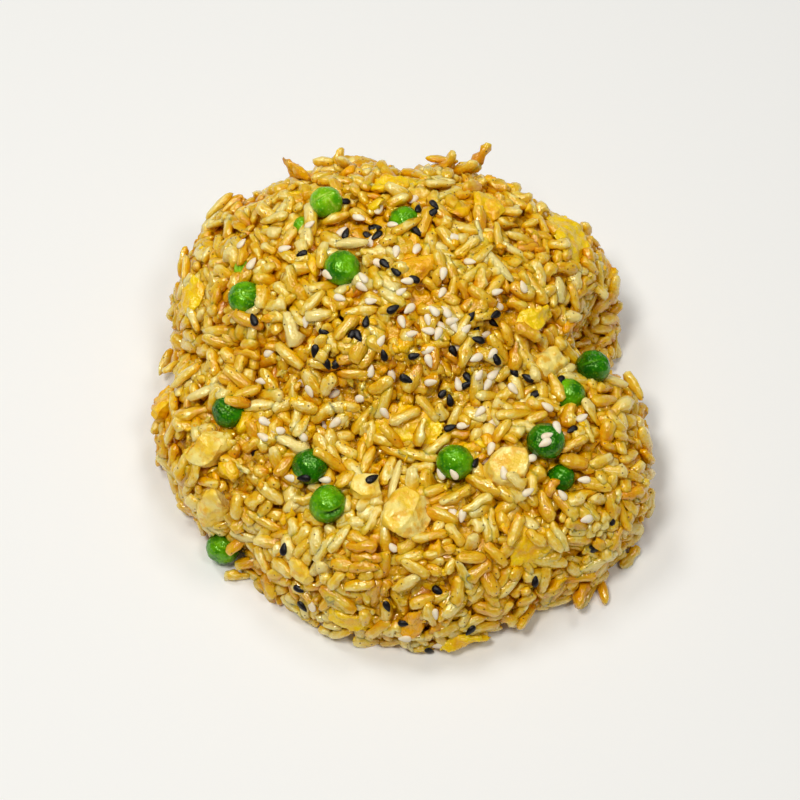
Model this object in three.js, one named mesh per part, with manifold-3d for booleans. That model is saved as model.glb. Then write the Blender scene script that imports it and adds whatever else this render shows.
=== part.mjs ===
// A heap of egg fried rice on a flat surface: rice, peas, chicken, torn egg and sesame seeds. Millimetres,
// +Z up. The origin is on the flat underside, under the middle of the heap, and -Y is the low near side.
import * as THREE from "three";
import { mergeVertices } from "three/addons/utils/BufferGeometryUtils.js";
import Module from "manifold-3d";

const wasm = await Module();
wasm.setup();

// ---- The heap ------------------------------------------------------------------------------------------

// The heap's core is a blend of rounded lobes that stand on the ground. Each has its centre, its half widths
// along its own axes, its height, and its turn about the vertical in degrees.
const LOBES = [
  { name: "crown", x: -2, y: 24, halfX: 47, halfY: 42, height: 46, turn: 0 },
  { name: "back left", x: -25, y: 28, halfX: 30, halfY: 31, height: 36, turn: 0 },
  { name: "back right", x: 24, y: 28, halfX: 29, halfY: 25, height: 37, turn: 0 },
  { name: "front right", x: 27, y: -10, halfX: 35, halfY: 31, height: 31, turn: -50 },
  { name: "front left", x: -30, y: -6, halfX: 27, halfY: 28, height: 29, turn: -25 },
  { name: "toe", x: 3, y: -29, halfX: 37, halfY: 27, height: 27, turn: 0 },
];
const FULLNESS = 2.5; // the exponent of a lobe's section: 2 is an ellipse, and more is squarer
const BLENDING = 11; // how sharply two lobes meet: more leaves a deeper crease
const HEART = new THREE.Vector3(0, 0, 8); // the point inside the heap that bearings and rises start from
const CORE_DETAIL = 7; // subdivisions of the icosahedron that the core is shaped from
const CLUMP = { height: 0.6, pitch: 5.5 }; // low relief of the clumped rice under the loose grains
const REACH = 100; // farther from the heart than any part of the heap

// ---- What the heap is made of --------------------------------------------------------------------------

// Loose grains and seeds: sunk is the share of the thickness that is in the core, spread the share by which
// the length varies either way, and tilt the most degrees that a grain leans off the surface.
const GRAIN = { length: 7.4, width: 3.0, sides: 4, bands: 3, spread: 0.2, sunk: 0.2, tilt: 8 };
const SEED = { length: 3.3, width: 2.0, thick: 1.1, sides: 4, bands: 2, sunk: 0.25 };
const LOOSE_GRAINS = 170; // how many are drawn; those that would cross a topping are left out
const SPOTS_TRIED = 14; // how many spots each of them picks the emptiest from
const CLEARANCE = 0.7; // gap between a topping and the rice that it beds in
const PEA_BANDS = 6; // rows of faces from pole to pole
const PLAIN_BANDS = 4; // the same for chicken, egg and every bed
const LOWEST_RISE = -6; // degrees: loose grains lie from this rise up

// Grains that stick out of the outline: where they leave the heap, how they are turned on the surface and
// lifted off it in degrees, and how far out their middle is.
const STRAY_GRAINS = [
  { bearing: 74, rise: 27, heading: 165, lift: 40, out: 2.4 },
  { bearing: 78, rise: 28, heading: 140, lift: 50, out: 2.6 },
  { bearing: 104, rise: 28, heading: 60, lift: 30, out: 2.0 },
  { bearing: 149, rise: 17, heading: 170, lift: 12, out: 1.8 },
  { bearing: 168, rise: 6, heading: 20, lift: 40, out: 2.4 },
  { bearing: -125, rise: -4, heading: 190, lift: 25, out: 1.6 },
  { bearing: -46, rise: -3, heading: 180, lift: 45, out: 2.2 },
  { bearing: -60, rise: -3, heading: 170, lift: 30, out: 1.6 },
  { bearing: -12, rise: 10, heading: 70, lift: 10, out: 1.6 },
  { bearing: 30, rise: 12, heading: 60, lift: 15, out: 1.6 },
];

// Where sesame was sprinkled: each patch's middle, its spread in degrees, and how many seeds fell there.
const SPRINKLES = [
  { bearing: 75, rise: 78, spread: 11, seeds: 22 },
  { bearing: 115, rise: 55, spread: 12, seeds: 10 },
  { bearing: -20, rise: 58, spread: 16, seeds: 14 },
  { bearing: -100, rise: 40, spread: 26, seeds: 14 },
];

// Toppings. Bearing is round the heap from +X, counterclockwise, and rise is up from level, both in degrees
// as seen from the heart. Proud is how far the topping's middle stands out of the core; heading turns it on
// the surface and lift tips its front end up. Sizes are length, width and thickness.
const PEAS = [
  { name: "pea_back", bearing: 115, rise: 42, across: 8.2, proud: 1.8 },
  { name: "pea_back_split", bearing: 125, rise: 41, across: 5.2, proud: -0.8 },
  { name: "pea_left", bearing: 157, rise: 38, across: 8.4, proud: 1.6 },
  { name: "pea_left_sunk", bearing: 147, rise: 34, across: 6.2, proud: -0.8 },
  { name: "pea_crown", bearing: 126, rise: 59, across: 8.8, proud: 1.8 },
  { name: "pea_crown_sunk", bearing: 88, rise: 49, across: 8.2, proud: -0.6 },
  { name: "pea_shaded", bearing: -166, rise: 27, across: 8.4, proud: 0.2 },
  { name: "pea_pair_upper", bearing: -132, rise: 30, across: 8.8, proud: 1.0 },
  { name: "pea_pair_lower", bearing: -116, rise: 25, across: 9.2, proud: 1.9 },
  { name: "pea_middle", bearing: -62, rise: 38, across: 8.8, proud: 1.6 },
  { name: "pea_seeded", bearing: -31, rise: 31, across: 9.0, proud: 2.2 },
  { name: "pea_under_seeded", bearing: -36, rise: 24, across: 6.8, proud: -1.2 },
  { name: "pea_notch", bearing: 3, rise: 22, across: 8.8, proud: 2.0 },
  { name: "pea_notch_sunk", bearing: -8, rise: 28, across: 8.2, proud: 0.2 },
  { name: "pea_edge", bearing: -142, rise: -4, across: 8.4, proud: 0.6 },
  { name: "pea_rear_left", bearing: 131, rise: 12, across: 8.2, proud: 1.2 },
  { name: "pea_rear_right", bearing: 78, rise: 10, across: 8.6, proud: 0.8 },
];
const CHICKEN = [
  { name: "chicken_left", bearing: -158, rise: 19, heading: 50, size: [12, 9.5, 7], proud: 0.8 },
  { name: "chicken_flank", bearing: -147, rise: 9, heading: 80, size: [14, 8.5, 6], proud: 0.6 },
  { name: "chicken_small", bearing: -104, rise: 32, heading: 80, size: [8, 7, 6.5], proud: 1.0 },
  { name: "chicken_middle", bearing: -88, rise: 27, heading: 75, size: [13, 11.5, 8], proud: 1.2 },
  { name: "chicken_right", bearing: -45, rise: 32, heading: 30, size: [12, 12, 7], proud: 0.9 },
  { name: "chicken_notch", bearing: 4, rise: 33, heading: 140, size: [12, 7, 4.5], proud: 1.1 },
  { name: "chicken_sliver", bearing: -117, rise: 9, heading: 160, size: [10, 6, 4], proud: 0.8 },
  { name: "chicken_rear", bearing: 100, rise: 16, heading: 25, size: [13, 10, 6.5], proud: 0.8 },
];
const EGG = [
  { name: "egg_corner_fold", bearing: 41, rise: 26, heading: 150, size: [18, 13, 5], proud: 1.2 },
  { name: "egg_corner_curl", bearing: 35, rise: 14, heading: 110, size: [12, 9, 4], proud: 1.6 },
  { name: "egg_crisp_tip", bearing: 115, rise: 26, heading: 20, lift: 55, size: [12, 9, 4], proud: 2.6 },
  { name: "egg_back_crumb", bearing: 93, rise: 39, heading: 10, size: [13, 6, 4], proud: 0.8 },
  { name: "egg_back_right", bearing: 65, rise: 25, heading: 170, size: [11, 6, 5], proud: 1.4 },
  { name: "egg_right_crumb", bearing: 62, rise: 38, heading: 150, size: [11, 8, 4.5], proud: 0.9 },
  { name: "egg_crown", bearing: 78, rise: 65, heading: 10, size: [11, 8, 5], proud: 1.0 },
  { name: "egg_shoulder", bearing: 18, rise: 42, heading: 160, size: [12, 7, 4.5], proud: 1.0 },
  { name: "egg_sheet", bearing: -85, rise: 56, heading: 15, size: [18, 11, 3.5], proud: 0.5 },
  { name: "egg_left_edge", bearing: 156, rise: 19, heading: 90, size: [15, 9, 4.5], proud: 1.2 },
  { name: "egg_left_lump", bearing: -179, rise: 6, heading: 80, size: [11, 10, 7], proud: 1.6 },
  { name: "egg_front_fold", bearing: -53, rise: 15, heading: 30, size: [15, 12, 4], proud: 0.9 },
  { name: "egg_toe_left", bearing: -102, rise: 2, heading: 5, size: [15, 7, 5], proud: 0.9 },
  { name: "egg_toe_browned", bearing: -87, rise: 4, heading: 70, size: [11, 7, 4.5], proud: 0.8 },
  { name: "egg_toe_flake", bearing: -75, rise: -4, heading: 175, size: [13, 5, 3.5], proud: 2.4 },
  { name: "egg_right_rim", bearing: -27, rise: 8, heading: 80, size: [12, 6, 4.5], proud: 1.0 },
  { name: "egg_rear_left", bearing: 117, rise: 4, heading: 10, size: [14, 8, 4.5], proud: 0.9 },
  { name: "egg_rear_right", bearing: 58, rise: 8, heading: 150, size: [13, 9, 4.5], proud: 1.0 },
];

// ---- Small helpers -------------------------------------------------------------------------------------

const UP = new THREE.Vector3(0, 0, 1);
const radians = THREE.MathUtils.degToRad;
const degrees = THREE.MathUtils.radToDeg;

// A repeatable source of numbers from 0 to 1.
function seededRandom(seed) {
  let state = seed;
  return () => {
    state = (state + 0x6d2b79f5) | 0;
    let mixed = Math.imul(state ^ (state >>> 15), 1 | state);
    mixed = (mixed + Math.imul(mixed ^ (mixed >>> 7), 61 | mixed)) ^ mixed;
    return ((mixed ^ (mixed >>> 14)) >>> 0) / 2 ** 32;
  };
}

// A number drawn evenly from middle - half to middle + half.
function about(random, middle, half) {
  return middle + (2 * random() - 1) * half;
}

// A closed three.js geometry as a solid that can be joined and cut.
function solidOf(geometry) {
  const bare = geometry.clone().deleteAttribute("normal").deleteAttribute("uv");
  const merged = mergeVertices(bare, 1e-4);
  const vertProperties = merged.getAttribute("position").array;
  return new wasm.Manifold(new wasm.Mesh({ numProp: 3, vertProperties, triVerts: merged.index.array }));
}

// A solid as a three.js geometry.
function geometryOf(solid) {
  const { numProp, numVert, vertProperties, triVerts } = solid.getMesh();
  const positions = new Float32Array(numVert * 3);
  for (let i = 0; i < numVert; i++) {
    positions.set(vertProperties.subarray(i * numProp, i * numProp + 3), i * 3);
  }
  const geometry = new THREE.BufferGeometry();
  geometry.setAttribute("position", new THREE.BufferAttribute(positions, 3));
  geometry.setIndex(new THREE.BufferAttribute(triVerts, 1));
  geometry.computeVertexNormals();
  return geometry;
}

// Moves every vertex of a geometry to where the given function puts it.
function reshape(geometry, move) {
  const position = geometry.getAttribute("position");
  const point = new THREE.Vector3();
  for (let i = 0; i < position.count; i++) {
    point.fromBufferAttribute(position, i);
    move(point);
    position.setXYZ(i, point.x, point.y, point.z);
  }
  geometry.computeVertexNormals();
  return geometry;
}

// ---- The surface of the heap ---------------------------------------------------------------------------

// Below 1 inside the core, 1 on its surface and above 1 outside.
function gauge(point) {
  let sum = 0;
  for (const { x, y, halfX, halfY, height, turn } of LOBES) {
    const cos = Math.cos(radians(turn));
    const sin = Math.sin(radians(turn));
    const along = ((point.x - x) * cos + (point.y - y) * sin) / halfX;
    const across = ((point.y - y) * cos - (point.x - x) * sin) / halfY;
    const share = Math.hypot(along, across) ** FULLNESS + Math.abs(point.z / height) ** FULLNESS;
    sum += Math.max(share, 1e-6) ** (-BLENDING / FULLNESS);
  }
  return sum ** (-1 / BLENDING);
}

// The direction from the heart at a bearing and a rise.
function directionTo(bearing, rise) {
  const level = Math.cos(radians(rise));
  const [x, y] = [level * Math.cos(radians(bearing)), level * Math.sin(radians(bearing))];
  return new THREE.Vector3(x, y, Math.sin(radians(rise)));
}

// Where the core's surface is, in a direction from the heart.
function surfaceAlong(direction) {
  let [inside, outside] = [0, REACH];
  for (let step = 0; step < 30; step++) {
    const middle = (inside + outside) / 2;
    if (gauge(HEART.clone().addScaledVector(direction, middle)) < 1) {
      inside = middle;
    } else {
      outside = middle;
    }
  }
  return HEART.clone().addScaledVector(direction, inside);
}

// Which way the core's surface faces at a point.
function facingAt(point) {
  const step = 0.5;
  const gaugeBeside = (axis, distance) => gauge(point.clone().addScaledVector(axis, distance));
  const axes = [new THREE.Vector3(1, 0, 0), new THREE.Vector3(0, 1, 0), UP];
  const slopes = axes.map((axis) => gaugeBeside(axis, step) - gaugeBeside(axis, -step));
  return new THREE.Vector3(...slopes).normalize();
}

// How high the clumped rice stands at a point.
function clumpAt({ x, y, z }) {
  const patches = Math.sin(x / CLUMP.pitch + 1.3) * Math.sin(y / CLUMP.pitch - 0.4);
  const bands = Math.sin((x + y + 2 * z) / CLUMP.pitch);
  return CLUMP.height * (patches + bands);
}

// The core of the heap, down past the ground.
function coreShape() {
  return reshape(new THREE.IcosahedronGeometry(1, CORE_DETAIL), (p) => {
    const point = surfaceAlong(p.clone().normalize());
    p.copy(point.addScaledVector(facingAt(point), clumpAt(point)));
  });
}

const coreMesh = new THREE.Mesh(coreShape(), new THREE.MeshBasicMaterial({ side: THREE.DoubleSide }));

// Where a line from the heart leaves the core's own faces.
function coreFaceAlong(direction) {
  const [{ point }] = new THREE.Raycaster(HEART, direction, 0, REACH).intersectObject(coreMesh);
  return point;
}

// A place on the core: its local Z faces outwards, and its local X is turned by heading from the level
// direction that runs counterclockwise round the heap, and then lifted off the surface.
function placeAt({ bearing, rise, heading = 0, lift = 0, out = 0 }) {
  const point = coreFaceAlong(directionTo(bearing, rise));
  const facing = facingAt(point);
  const level = UP.clone().cross(facing).normalize();
  const uphill = facing.clone().cross(level);
  const place = new THREE.Matrix4().makeBasis(level, uphill, facing);
  place.multiply(new THREE.Matrix4().makeRotationZ(radians(heading)));
  place.multiply(new THREE.Matrix4().makeRotationY(-radians(lift)));
  return place.setPosition(point.addScaledVector(facing, out));
}

// ---- The shapes of the pieces --------------------------------------------------------------------------

// An ellipsoid that lies along X, with few sides.
function pod(length, width, thick, sides, bands) {
  const shape = new THREE.SphereGeometry(1, sides, bands).rotateZ(Math.PI / 2);
  return shape.scale(length / 2, width / 2, thick / 2);
}

// A ball of radius 1 with its poles up and down, to shape a topping from.
function ball(sides, bands) {
  return new THREE.SphereGeometry(1, sides, bands).rotateX(Math.PI / 2);
}

// A pea: a ball that is a little flattened and dimpled on its outer side.
function peaShape({ across }, grow = 0, bands = PEA_BANDS) {
  const radius = across / 2 + grow;
  const shape = ball(10, bands).scale(radius, radius, radius);
  return reshape(shape, (p) => {
    const dimple = Math.max(0, p.z / radius - 0.85) * 1.5;
    p.z *= 0.95 - dimple * 0.3;
  });
}

// A torn chunk of chicken: a rounded block with uneven faces.
function chickenShape({ size: [length, width, thick], bearing }, grow = 0, bands = PLAIN_BANDS) {
  const squareness = 3.4;
  return reshape(ball(12, bands), (p) => {
    const sum = Math.abs(p.x) ** squareness + Math.abs(p.y) ** squareness + Math.abs(p.z) ** squareness;
    const tornAcross = 0.1 * Math.sin(5 * p.x + bearing) * Math.cos(4 * p.y - bearing);
    const tornUp = 0.06 * Math.sin(7 * p.z + p.x * 3);
    p.multiplyScalar((1 + tornAcross + tornUp) / sum ** (1 / squareness));
    p.set(p.x * (length / 2 + grow), p.y * (width / 2 + grow), p.z * (thick / 2 + grow));
  });
}

// A torn piece of egg: a wavy sheet with a ragged edge, thinner towards the edge.
function eggShape({ size: [length, width, thick], bearing }, grow = 0, bands = PLAIN_BANDS) {
  return reshape(ball(12, bands), (p) => {
    const angle = Math.atan2(p.y, p.x);
    const edge = Math.hypot(p.x, p.y);
    const tears = 0.13 * Math.sin(3 * angle + bearing) + 0.1 * Math.sin(5 * angle - 2 * bearing);
    const wave = 0.22 * thick * edge * Math.sin(2 * angle + bearing);
    const body = Math.sign(p.z) * Math.abs(p.z) ** 0.8 * (thick * 0.4 + grow);
    const [halfLength, halfWidth] = [length / 2 + grow, width / 2 + grow];
    p.set(p.x * (1 + edge * tears) * halfLength, p.y * (1 + edge * tears) * halfWidth, body + wave);
  });
}

// ---- Assembly ------------------------------------------------------------------------------------------

const MATERIALS = {
  rice: new THREE.MeshStandardMaterial({ color: 0xdcb95c, roughness: 0.45, metalness: 0 }),
  pea: new THREE.MeshStandardMaterial({ color: 0x3f8f12, roughness: 0.3, metalness: 0 }),
  chicken: new THREE.MeshStandardMaterial({ color: 0xf0cc7a, roughness: 0.55, metalness: 0 }),
  egg: new THREE.MeshStandardMaterial({ color: 0xf2b611, roughness: 0.5, metalness: 0 }),
};

// One topping as a named mesh on the heap, with the solid that clears its bed in the rice.
function toppingOf(spec, shapeOf, material) {
  const place = placeAt({ ...spec, out: spec.proud });
  const mesh = new THREE.Mesh(shapeOf(spec), material);
  mesh.name = spec.name;
  mesh.applyMatrix4(place);
  return { mesh, bed: solidOf(shapeOf(spec, CLEARANCE, PLAIN_BANDS).applyMatrix4(place)) };
}

// One grain of rice at a place.
function grainAt(place, length, width) {
  return solidOf(pod(length, width, width * 0.9, GRAIN.sides, GRAIN.bands).applyMatrix4(place));
}

// Whether a piece keeps clear of every topping's bed.
function isClear(piece, beds) {
  return beds.every((bed) => piece.intersect(bed).isEmpty());
}

// Loose grains, spread evenly: each lies in the emptiest of a few spots drawn at random.
function looseGrains() {
  const random = seededRandom(11);
  const lowest = Math.sin(radians(LOWEST_RISE));
  const spots = [];
  return Array.from({ length: LOOSE_GRAINS }, () => {
    let best = { room: -1 };
    for (let i = 0; i < SPOTS_TRIED; i++) {
      const rise = degrees(Math.asin(lowest + (1 - lowest) * random() ** 1.25));
      const bearing = 360 * random();
      const middle = coreFaceAlong(directionTo(bearing, rise));
      const room = Math.min(...spots.map((other) => other.distanceTo(middle)), REACH);
      best = room > best.room ? { room, middle, bearing, rise } : best;
    }
    spots.push(best.middle);
    const length = GRAIN.length * about(random, 1, GRAIN.spread);
    const width = about(random, GRAIN.width, 0.3);
    const lift = about(random, 0, GRAIN.tilt);
    const place = placeAt({ ...best, heading: 360 * random(), lift, out: width * (0.5 - GRAIN.sunk) });
    return grainAt(place, length, width);
  });
}

// Sesame seeds, thickest in the middle of each patch where they were sprinkled.
function sesameSeeds() {
  const random = seededRandom(5);
  return SPRINKLES.flatMap(({ bearing, rise, spread, seeds }) => Array.from({ length: seeds }, () => {
    const away = Math.tan(radians(spread * Math.sqrt(-Math.log(1 - 0.95 * random()))));
    const turn = 2 * Math.PI * random();
    const aim = directionTo(bearing, rise);
    const level = UP.clone().cross(aim).normalize();
    const uphill = aim.clone().cross(level);
    aim.addScaledVector(level, away * Math.cos(turn)).addScaledVector(uphill, away * Math.sin(turn));
    aim.normalize();
    const spot = { bearing: degrees(Math.atan2(aim.y, aim.x)), rise: degrees(Math.asin(aim.z)) };
    const lift = about(random, 0, 10);
    const place = placeAt({ ...spot, heading: 360 * random(), lift, out: SEED.thick * (0.5 - SEED.sunk) });
    return solidOf(pod(SEED.length, SEED.width, SEED.thick, SEED.sides, SEED.bands).applyMatrix4(place));
  }));
}

// The rice: the core with a bed cut for each topping, and with the loose grains and seeds that clear the
// beds fused on. Anything that came loose, and any bubble that the fusing sealed, is left out.
function riceMesh(beds) {
  const strays = STRAY_GRAINS.map((spec) => grainAt(placeAt(spec), GRAIN.length, GRAIN.width));
  const loose = [...looseGrains(), ...strays, ...sesameSeeds()].filter((piece) => isClear(piece, beds));
  const core = solidOf(coreMesh.geometry).subtract(wasm.Manifold.union(beds));
  const aboveGround = solidOf(new THREE.BoxGeometry(2 * REACH, 2 * REACH, REACH).translate(0, 0, REACH / 2));
  const joined = wasm.Manifold.union([core, ...loose]).intersect(aboveGround);
  const [heap] = joined.decompose().sort((a, b) => b.volume() - a.volume());
  const mesh = new THREE.Mesh(geometryOf(heap), MATERIALS.rice);
  mesh.name = "rice";
  return mesh;
}

const toppings = [
  ...PEAS.map((spec) => toppingOf(spec, peaShape, MATERIALS.pea)),
  ...CHICKEN.map((spec) => toppingOf(spec, chickenShape, MATERIALS.chicken)),
  ...EGG.map((spec) => toppingOf(spec, eggShape, MATERIALS.egg)),
];
const friedRice = new THREE.Group();
friedRice.add(riceMesh(toppings.map(({ bed }) => bed)), ...toppings.map(({ mesh }) => mesh));

export default friedRice;
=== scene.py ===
"""The looks of a heap of egg fried rice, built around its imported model. Blender's units are metres, +Z up.

Sizes of single things are in millimetres, as a cook would measure them, and become metres with MM.
"""

import logging
import math
from dataclasses import dataclass, field, replace
from enum import Enum

import bmesh
import bpy
import numpy as np
from mathutils import Matrix, Vector
from mathutils.bvhtree import BVHTree
from mathutils.noise import noise as perlin


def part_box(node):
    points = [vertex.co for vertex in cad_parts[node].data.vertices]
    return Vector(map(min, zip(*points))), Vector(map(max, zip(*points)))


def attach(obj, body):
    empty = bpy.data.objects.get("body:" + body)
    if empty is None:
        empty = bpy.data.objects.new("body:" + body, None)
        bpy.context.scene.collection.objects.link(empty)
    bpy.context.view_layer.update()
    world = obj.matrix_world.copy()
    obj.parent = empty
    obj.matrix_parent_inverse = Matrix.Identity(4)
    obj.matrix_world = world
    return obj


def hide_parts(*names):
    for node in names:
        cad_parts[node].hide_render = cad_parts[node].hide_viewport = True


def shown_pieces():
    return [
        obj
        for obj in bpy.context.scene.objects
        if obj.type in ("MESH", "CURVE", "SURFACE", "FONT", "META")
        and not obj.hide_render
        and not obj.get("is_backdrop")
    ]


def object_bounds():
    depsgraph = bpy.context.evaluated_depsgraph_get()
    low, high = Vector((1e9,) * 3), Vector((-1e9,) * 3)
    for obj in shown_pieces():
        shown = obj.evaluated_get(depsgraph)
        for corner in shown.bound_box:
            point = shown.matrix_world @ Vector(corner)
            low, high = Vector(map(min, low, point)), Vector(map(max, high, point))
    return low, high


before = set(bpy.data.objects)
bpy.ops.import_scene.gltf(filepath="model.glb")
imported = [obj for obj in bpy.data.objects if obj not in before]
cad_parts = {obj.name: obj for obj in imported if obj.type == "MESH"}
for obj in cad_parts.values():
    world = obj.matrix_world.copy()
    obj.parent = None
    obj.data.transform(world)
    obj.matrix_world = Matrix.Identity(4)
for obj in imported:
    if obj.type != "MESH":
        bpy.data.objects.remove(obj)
CAD_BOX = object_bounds()

MM = 0.001
DOUBLES = 0.01 * MM
MARGIN = 0.05 * MM
ROOT = "root"
LOG = logging.getLogger("fried_rice")

Colour = tuple[float, float, float]
Triple = tuple[float, float, float]
Span = tuple[float, float]


# ---- Small helpers --------------------------------------------------------------------------------------


def srgb(red: int, green: int, blue: int) -> Colour:
    """Turns a display colour into a linear one.

    Args:
        red: The red part, from 0 to 255.
        green: The green part, the same.
        blue: The blue part, the same.

    Returns:
        The linear colour, each part from 0 to 1.
    """
    shares = (red / 255, green / 255, blue / 255)
    return tuple(share / 12.92 if share <= 0.04045 else ((share + 0.055) / 1.055) ** 2.4 for share in shares)


def unit(vectors: np.ndarray) -> np.ndarray:
    """The same vectors with length one."""
    return vectors / np.maximum(np.linalg.norm(vectors, axis=-1, keepdims=True), 1e-9)


def seeded(name: str) -> np.random.Generator:
    """A random generator that always gives one name the same draws."""
    return np.random.default_rng([ord(letter) for letter in name])


def deselect() -> None:
    """Leaves nothing selected, so that the next operator acts only on what it makes."""
    bpy.ops.object.select_all(action="DESELECT")


def activate(piece: bpy.types.Object) -> None:
    """Makes a piece the only selected one, and the active one.

    Args:
        piece: The piece to select.
    """
    deselect()
    piece.select_set(True)
    bpy.context.view_layer.objects.active = piece


def apply_modifiers(piece: bpy.types.Object) -> None:
    """Applies every modifier of a piece in order.

    Args:
        piece: The piece that has them.
    """
    activate(piece)
    for modifier in list(piece.modifiers):
        bpy.ops.object.modifier_apply(modifier=modifier.name)


def points_of(piece: bpy.types.Object) -> np.ndarray:
    """Reads the places of a mesh's vertices.

    Args:
        piece: The object with the mesh.

    Returns:
        One row for each vertex.
    """
    flat = np.zeros(len(piece.data.vertices) * 3)
    piece.data.vertices.foreach_get("co", flat)
    return flat.reshape(-1, 3)


def move_points(piece: bpy.types.Object, points: np.ndarray) -> None:
    """Puts a mesh's vertices at new places."""
    piece.data.vertices.foreach_set("co", points.ravel())
    piece.data.update()


def tidy_mesh(piece: bpy.types.Object) -> None:
    """Merges doubles and turns every face outwards.

    Args:
        piece: The mesh to tidy.
    """
    activate(piece)
    bpy.ops.object.mode_set(mode="EDIT")
    bpy.ops.mesh.select_all(action="SELECT")
    bpy.ops.mesh.remove_doubles(threshold=DOUBLES)
    bpy.ops.mesh.normals_make_consistent(inside=False)
    bpy.ops.object.mode_set(mode="OBJECT")


def shade_smooth(piece: bpy.types.Object) -> None:
    """Shades all faces of a mesh smooth."""
    piece.data.polygons.foreach_set("use_smooth", [True] * len(piece.data.polygons))
    piece.data.update()


def set_attribute(piece: bpy.types.Object, name: str, values: np.ndarray) -> None:
    """Stores one number or one vector for every vertex.

    Args:
        piece: The mesh that gets them.
        name: The name that a material reads them by.
        values: One number or one row for each vertex.
    """
    if values.ndim == 2:
        layer = piece.data.attributes.new(name, "FLOAT_VECTOR", "POINT")
        layer.data.foreach_set("vector", values.astype(np.float32).ravel())
    else:
        layer = piece.data.attributes.new(name, "FLOAT", "POINT")
        layer.data.foreach_set("value", values.astype(np.float32))


def displace(piece: bpy.types.Object, kind: str, pitch: float, strength: float, middle: float) -> None:
    """Adds a modifier that raises a surface by a procedural pattern.

    Args:
        piece: The mesh that gets it.
        kind: The pattern: CLOUDS or VORONOI.
        pitch: The size of the pattern's lumps, in metres.
        strength: How far the pattern moves the surface in all, in metres.
        middle: The level of the pattern that stays where it is.
    """
    pattern = bpy.data.textures.new(f"{piece.name}_{kind.lower()}", kind)
    pattern.noise_scale = pitch
    if kind == "CLOUDS":
        pattern.noise_depth = 1
        pattern.noise_basis = "ORIGINAL_PERLIN"
    modifier = piece.modifiers.new(kind.title(), "DISPLACE")
    modifier.texture = pattern
    modifier.texture_coords = "LOCAL"
    modifier.strength = strength
    modifier.mid_level = middle


# ---- The heap's form ------------------------------------------------------------------------------------


@dataclass(frozen=True)
class Lobe:
    """One rounded lobe of the heap, in millimetres, turned about the vertical in degrees."""

    x: float
    y: float
    half_x: float
    half_y: float
    height: float
    turn: float = 0.0


@dataclass(frozen=True)
class Dent:
    """A place where the heap's side falls in, or bulges where the depth is negative. All in millimetres."""

    x: float
    y: float
    z: float
    reach: float
    depth: float


@dataclass(frozen=True)
class Heap:
    """The heap's smooth core, a blend of lobes that stand on the ground. All in millimetres."""

    lobes: tuple[Lobe, ...] = (
        Lobe(-2, 24, 47, 42, 46),
        Lobe(-25, 28, 30, 31, 36),
        Lobe(24, 28, 29, 25, 37),
        Lobe(27, -10, 35, 31, 31, -50),
        Lobe(-30, -6, 27, 28, 29, -25),
        Lobe(3, -29, 37, 27, 27),
    )
    dents: tuple[Dent, ...] = ()
    span: float = 38.0
    fullness: float = 2.5
    blending: float = 11.0
    heart: Triple = (0, 0, 8)
    reach: float = 100.0
    halvings: int = 24
    step: float = 0.5

    def gauge(self, points: np.ndarray) -> np.ndarray:
        """Measures how far out points are.

        Args:
            points: One row for each point.

        Returns:
            One on the core's surface, less inside it and more outside.
        """
        total = 0.0
        for lobe in self.lobes:
            cos, sin = math.cos(math.radians(lobe.turn)), math.sin(math.radians(lobe.turn))
            x, y = points[..., 0] - lobe.x, points[..., 1] - lobe.y
            level = np.hypot((x * cos + y * sin) / lobe.half_x, (y * cos - x * sin) / lobe.half_y)
            share = level ** self.fullness + np.abs(points[..., 2] / lobe.height) ** self.fullness
            total = total + np.maximum(share, 1e-6) ** (-self.blending / self.fullness)
        gauge = total ** (-1 / self.blending)
        for dent in self.dents:
            away = ((points - (dent.x, dent.y, dent.z)) ** 2).sum(-1)
            gauge = gauge + dent.depth / self.span * np.exp(-away / dent.reach ** 2)
        return gauge

    def slope(self, points: np.ndarray) -> np.ndarray:
        """The gauge's gradient at each point, which leads straight out of the heap."""
        return np.stack([self.gauge(points + self.step * axis) - self.gauge(points - self.step * axis)
                         for axis in np.eye(3)], -1) / (2 * self.step)

    def facing(self, points: np.ndarray) -> np.ndarray:
        """The direction straight out of the heap at each point."""
        return unit(self.slope(points))

    def over(self, points: np.ndarray) -> np.ndarray:
        """How many millimetres each point is over the core's surface, negative inside it."""
        return (self.gauge(points) - 1) / np.linalg.norm(self.slope(points), axis=-1)

    def surface(self, directions: np.ndarray, over: float = 0.0) -> np.ndarray:
        """Finds the heap's surface from its heart.

        Args:
            directions: One row for each direction to look in.
            over: How many millimetres over the surface the points lie.

        Returns:
            One point for each direction.
        """
        heart = np.array(self.heart, float)
        near, far = np.zeros(len(directions)), np.full(len(directions), self.reach)
        for _ in range(self.halvings):
            middle = (near + far) / 2
            inside = self.gauge(heart + directions * middle[:, None]) < 1
            near, far = np.where(inside, middle, near), np.where(inside, far, middle)
        points = heart + directions * ((near + far) / 2)[:, None]
        return points + self.facing(points) * over


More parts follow.
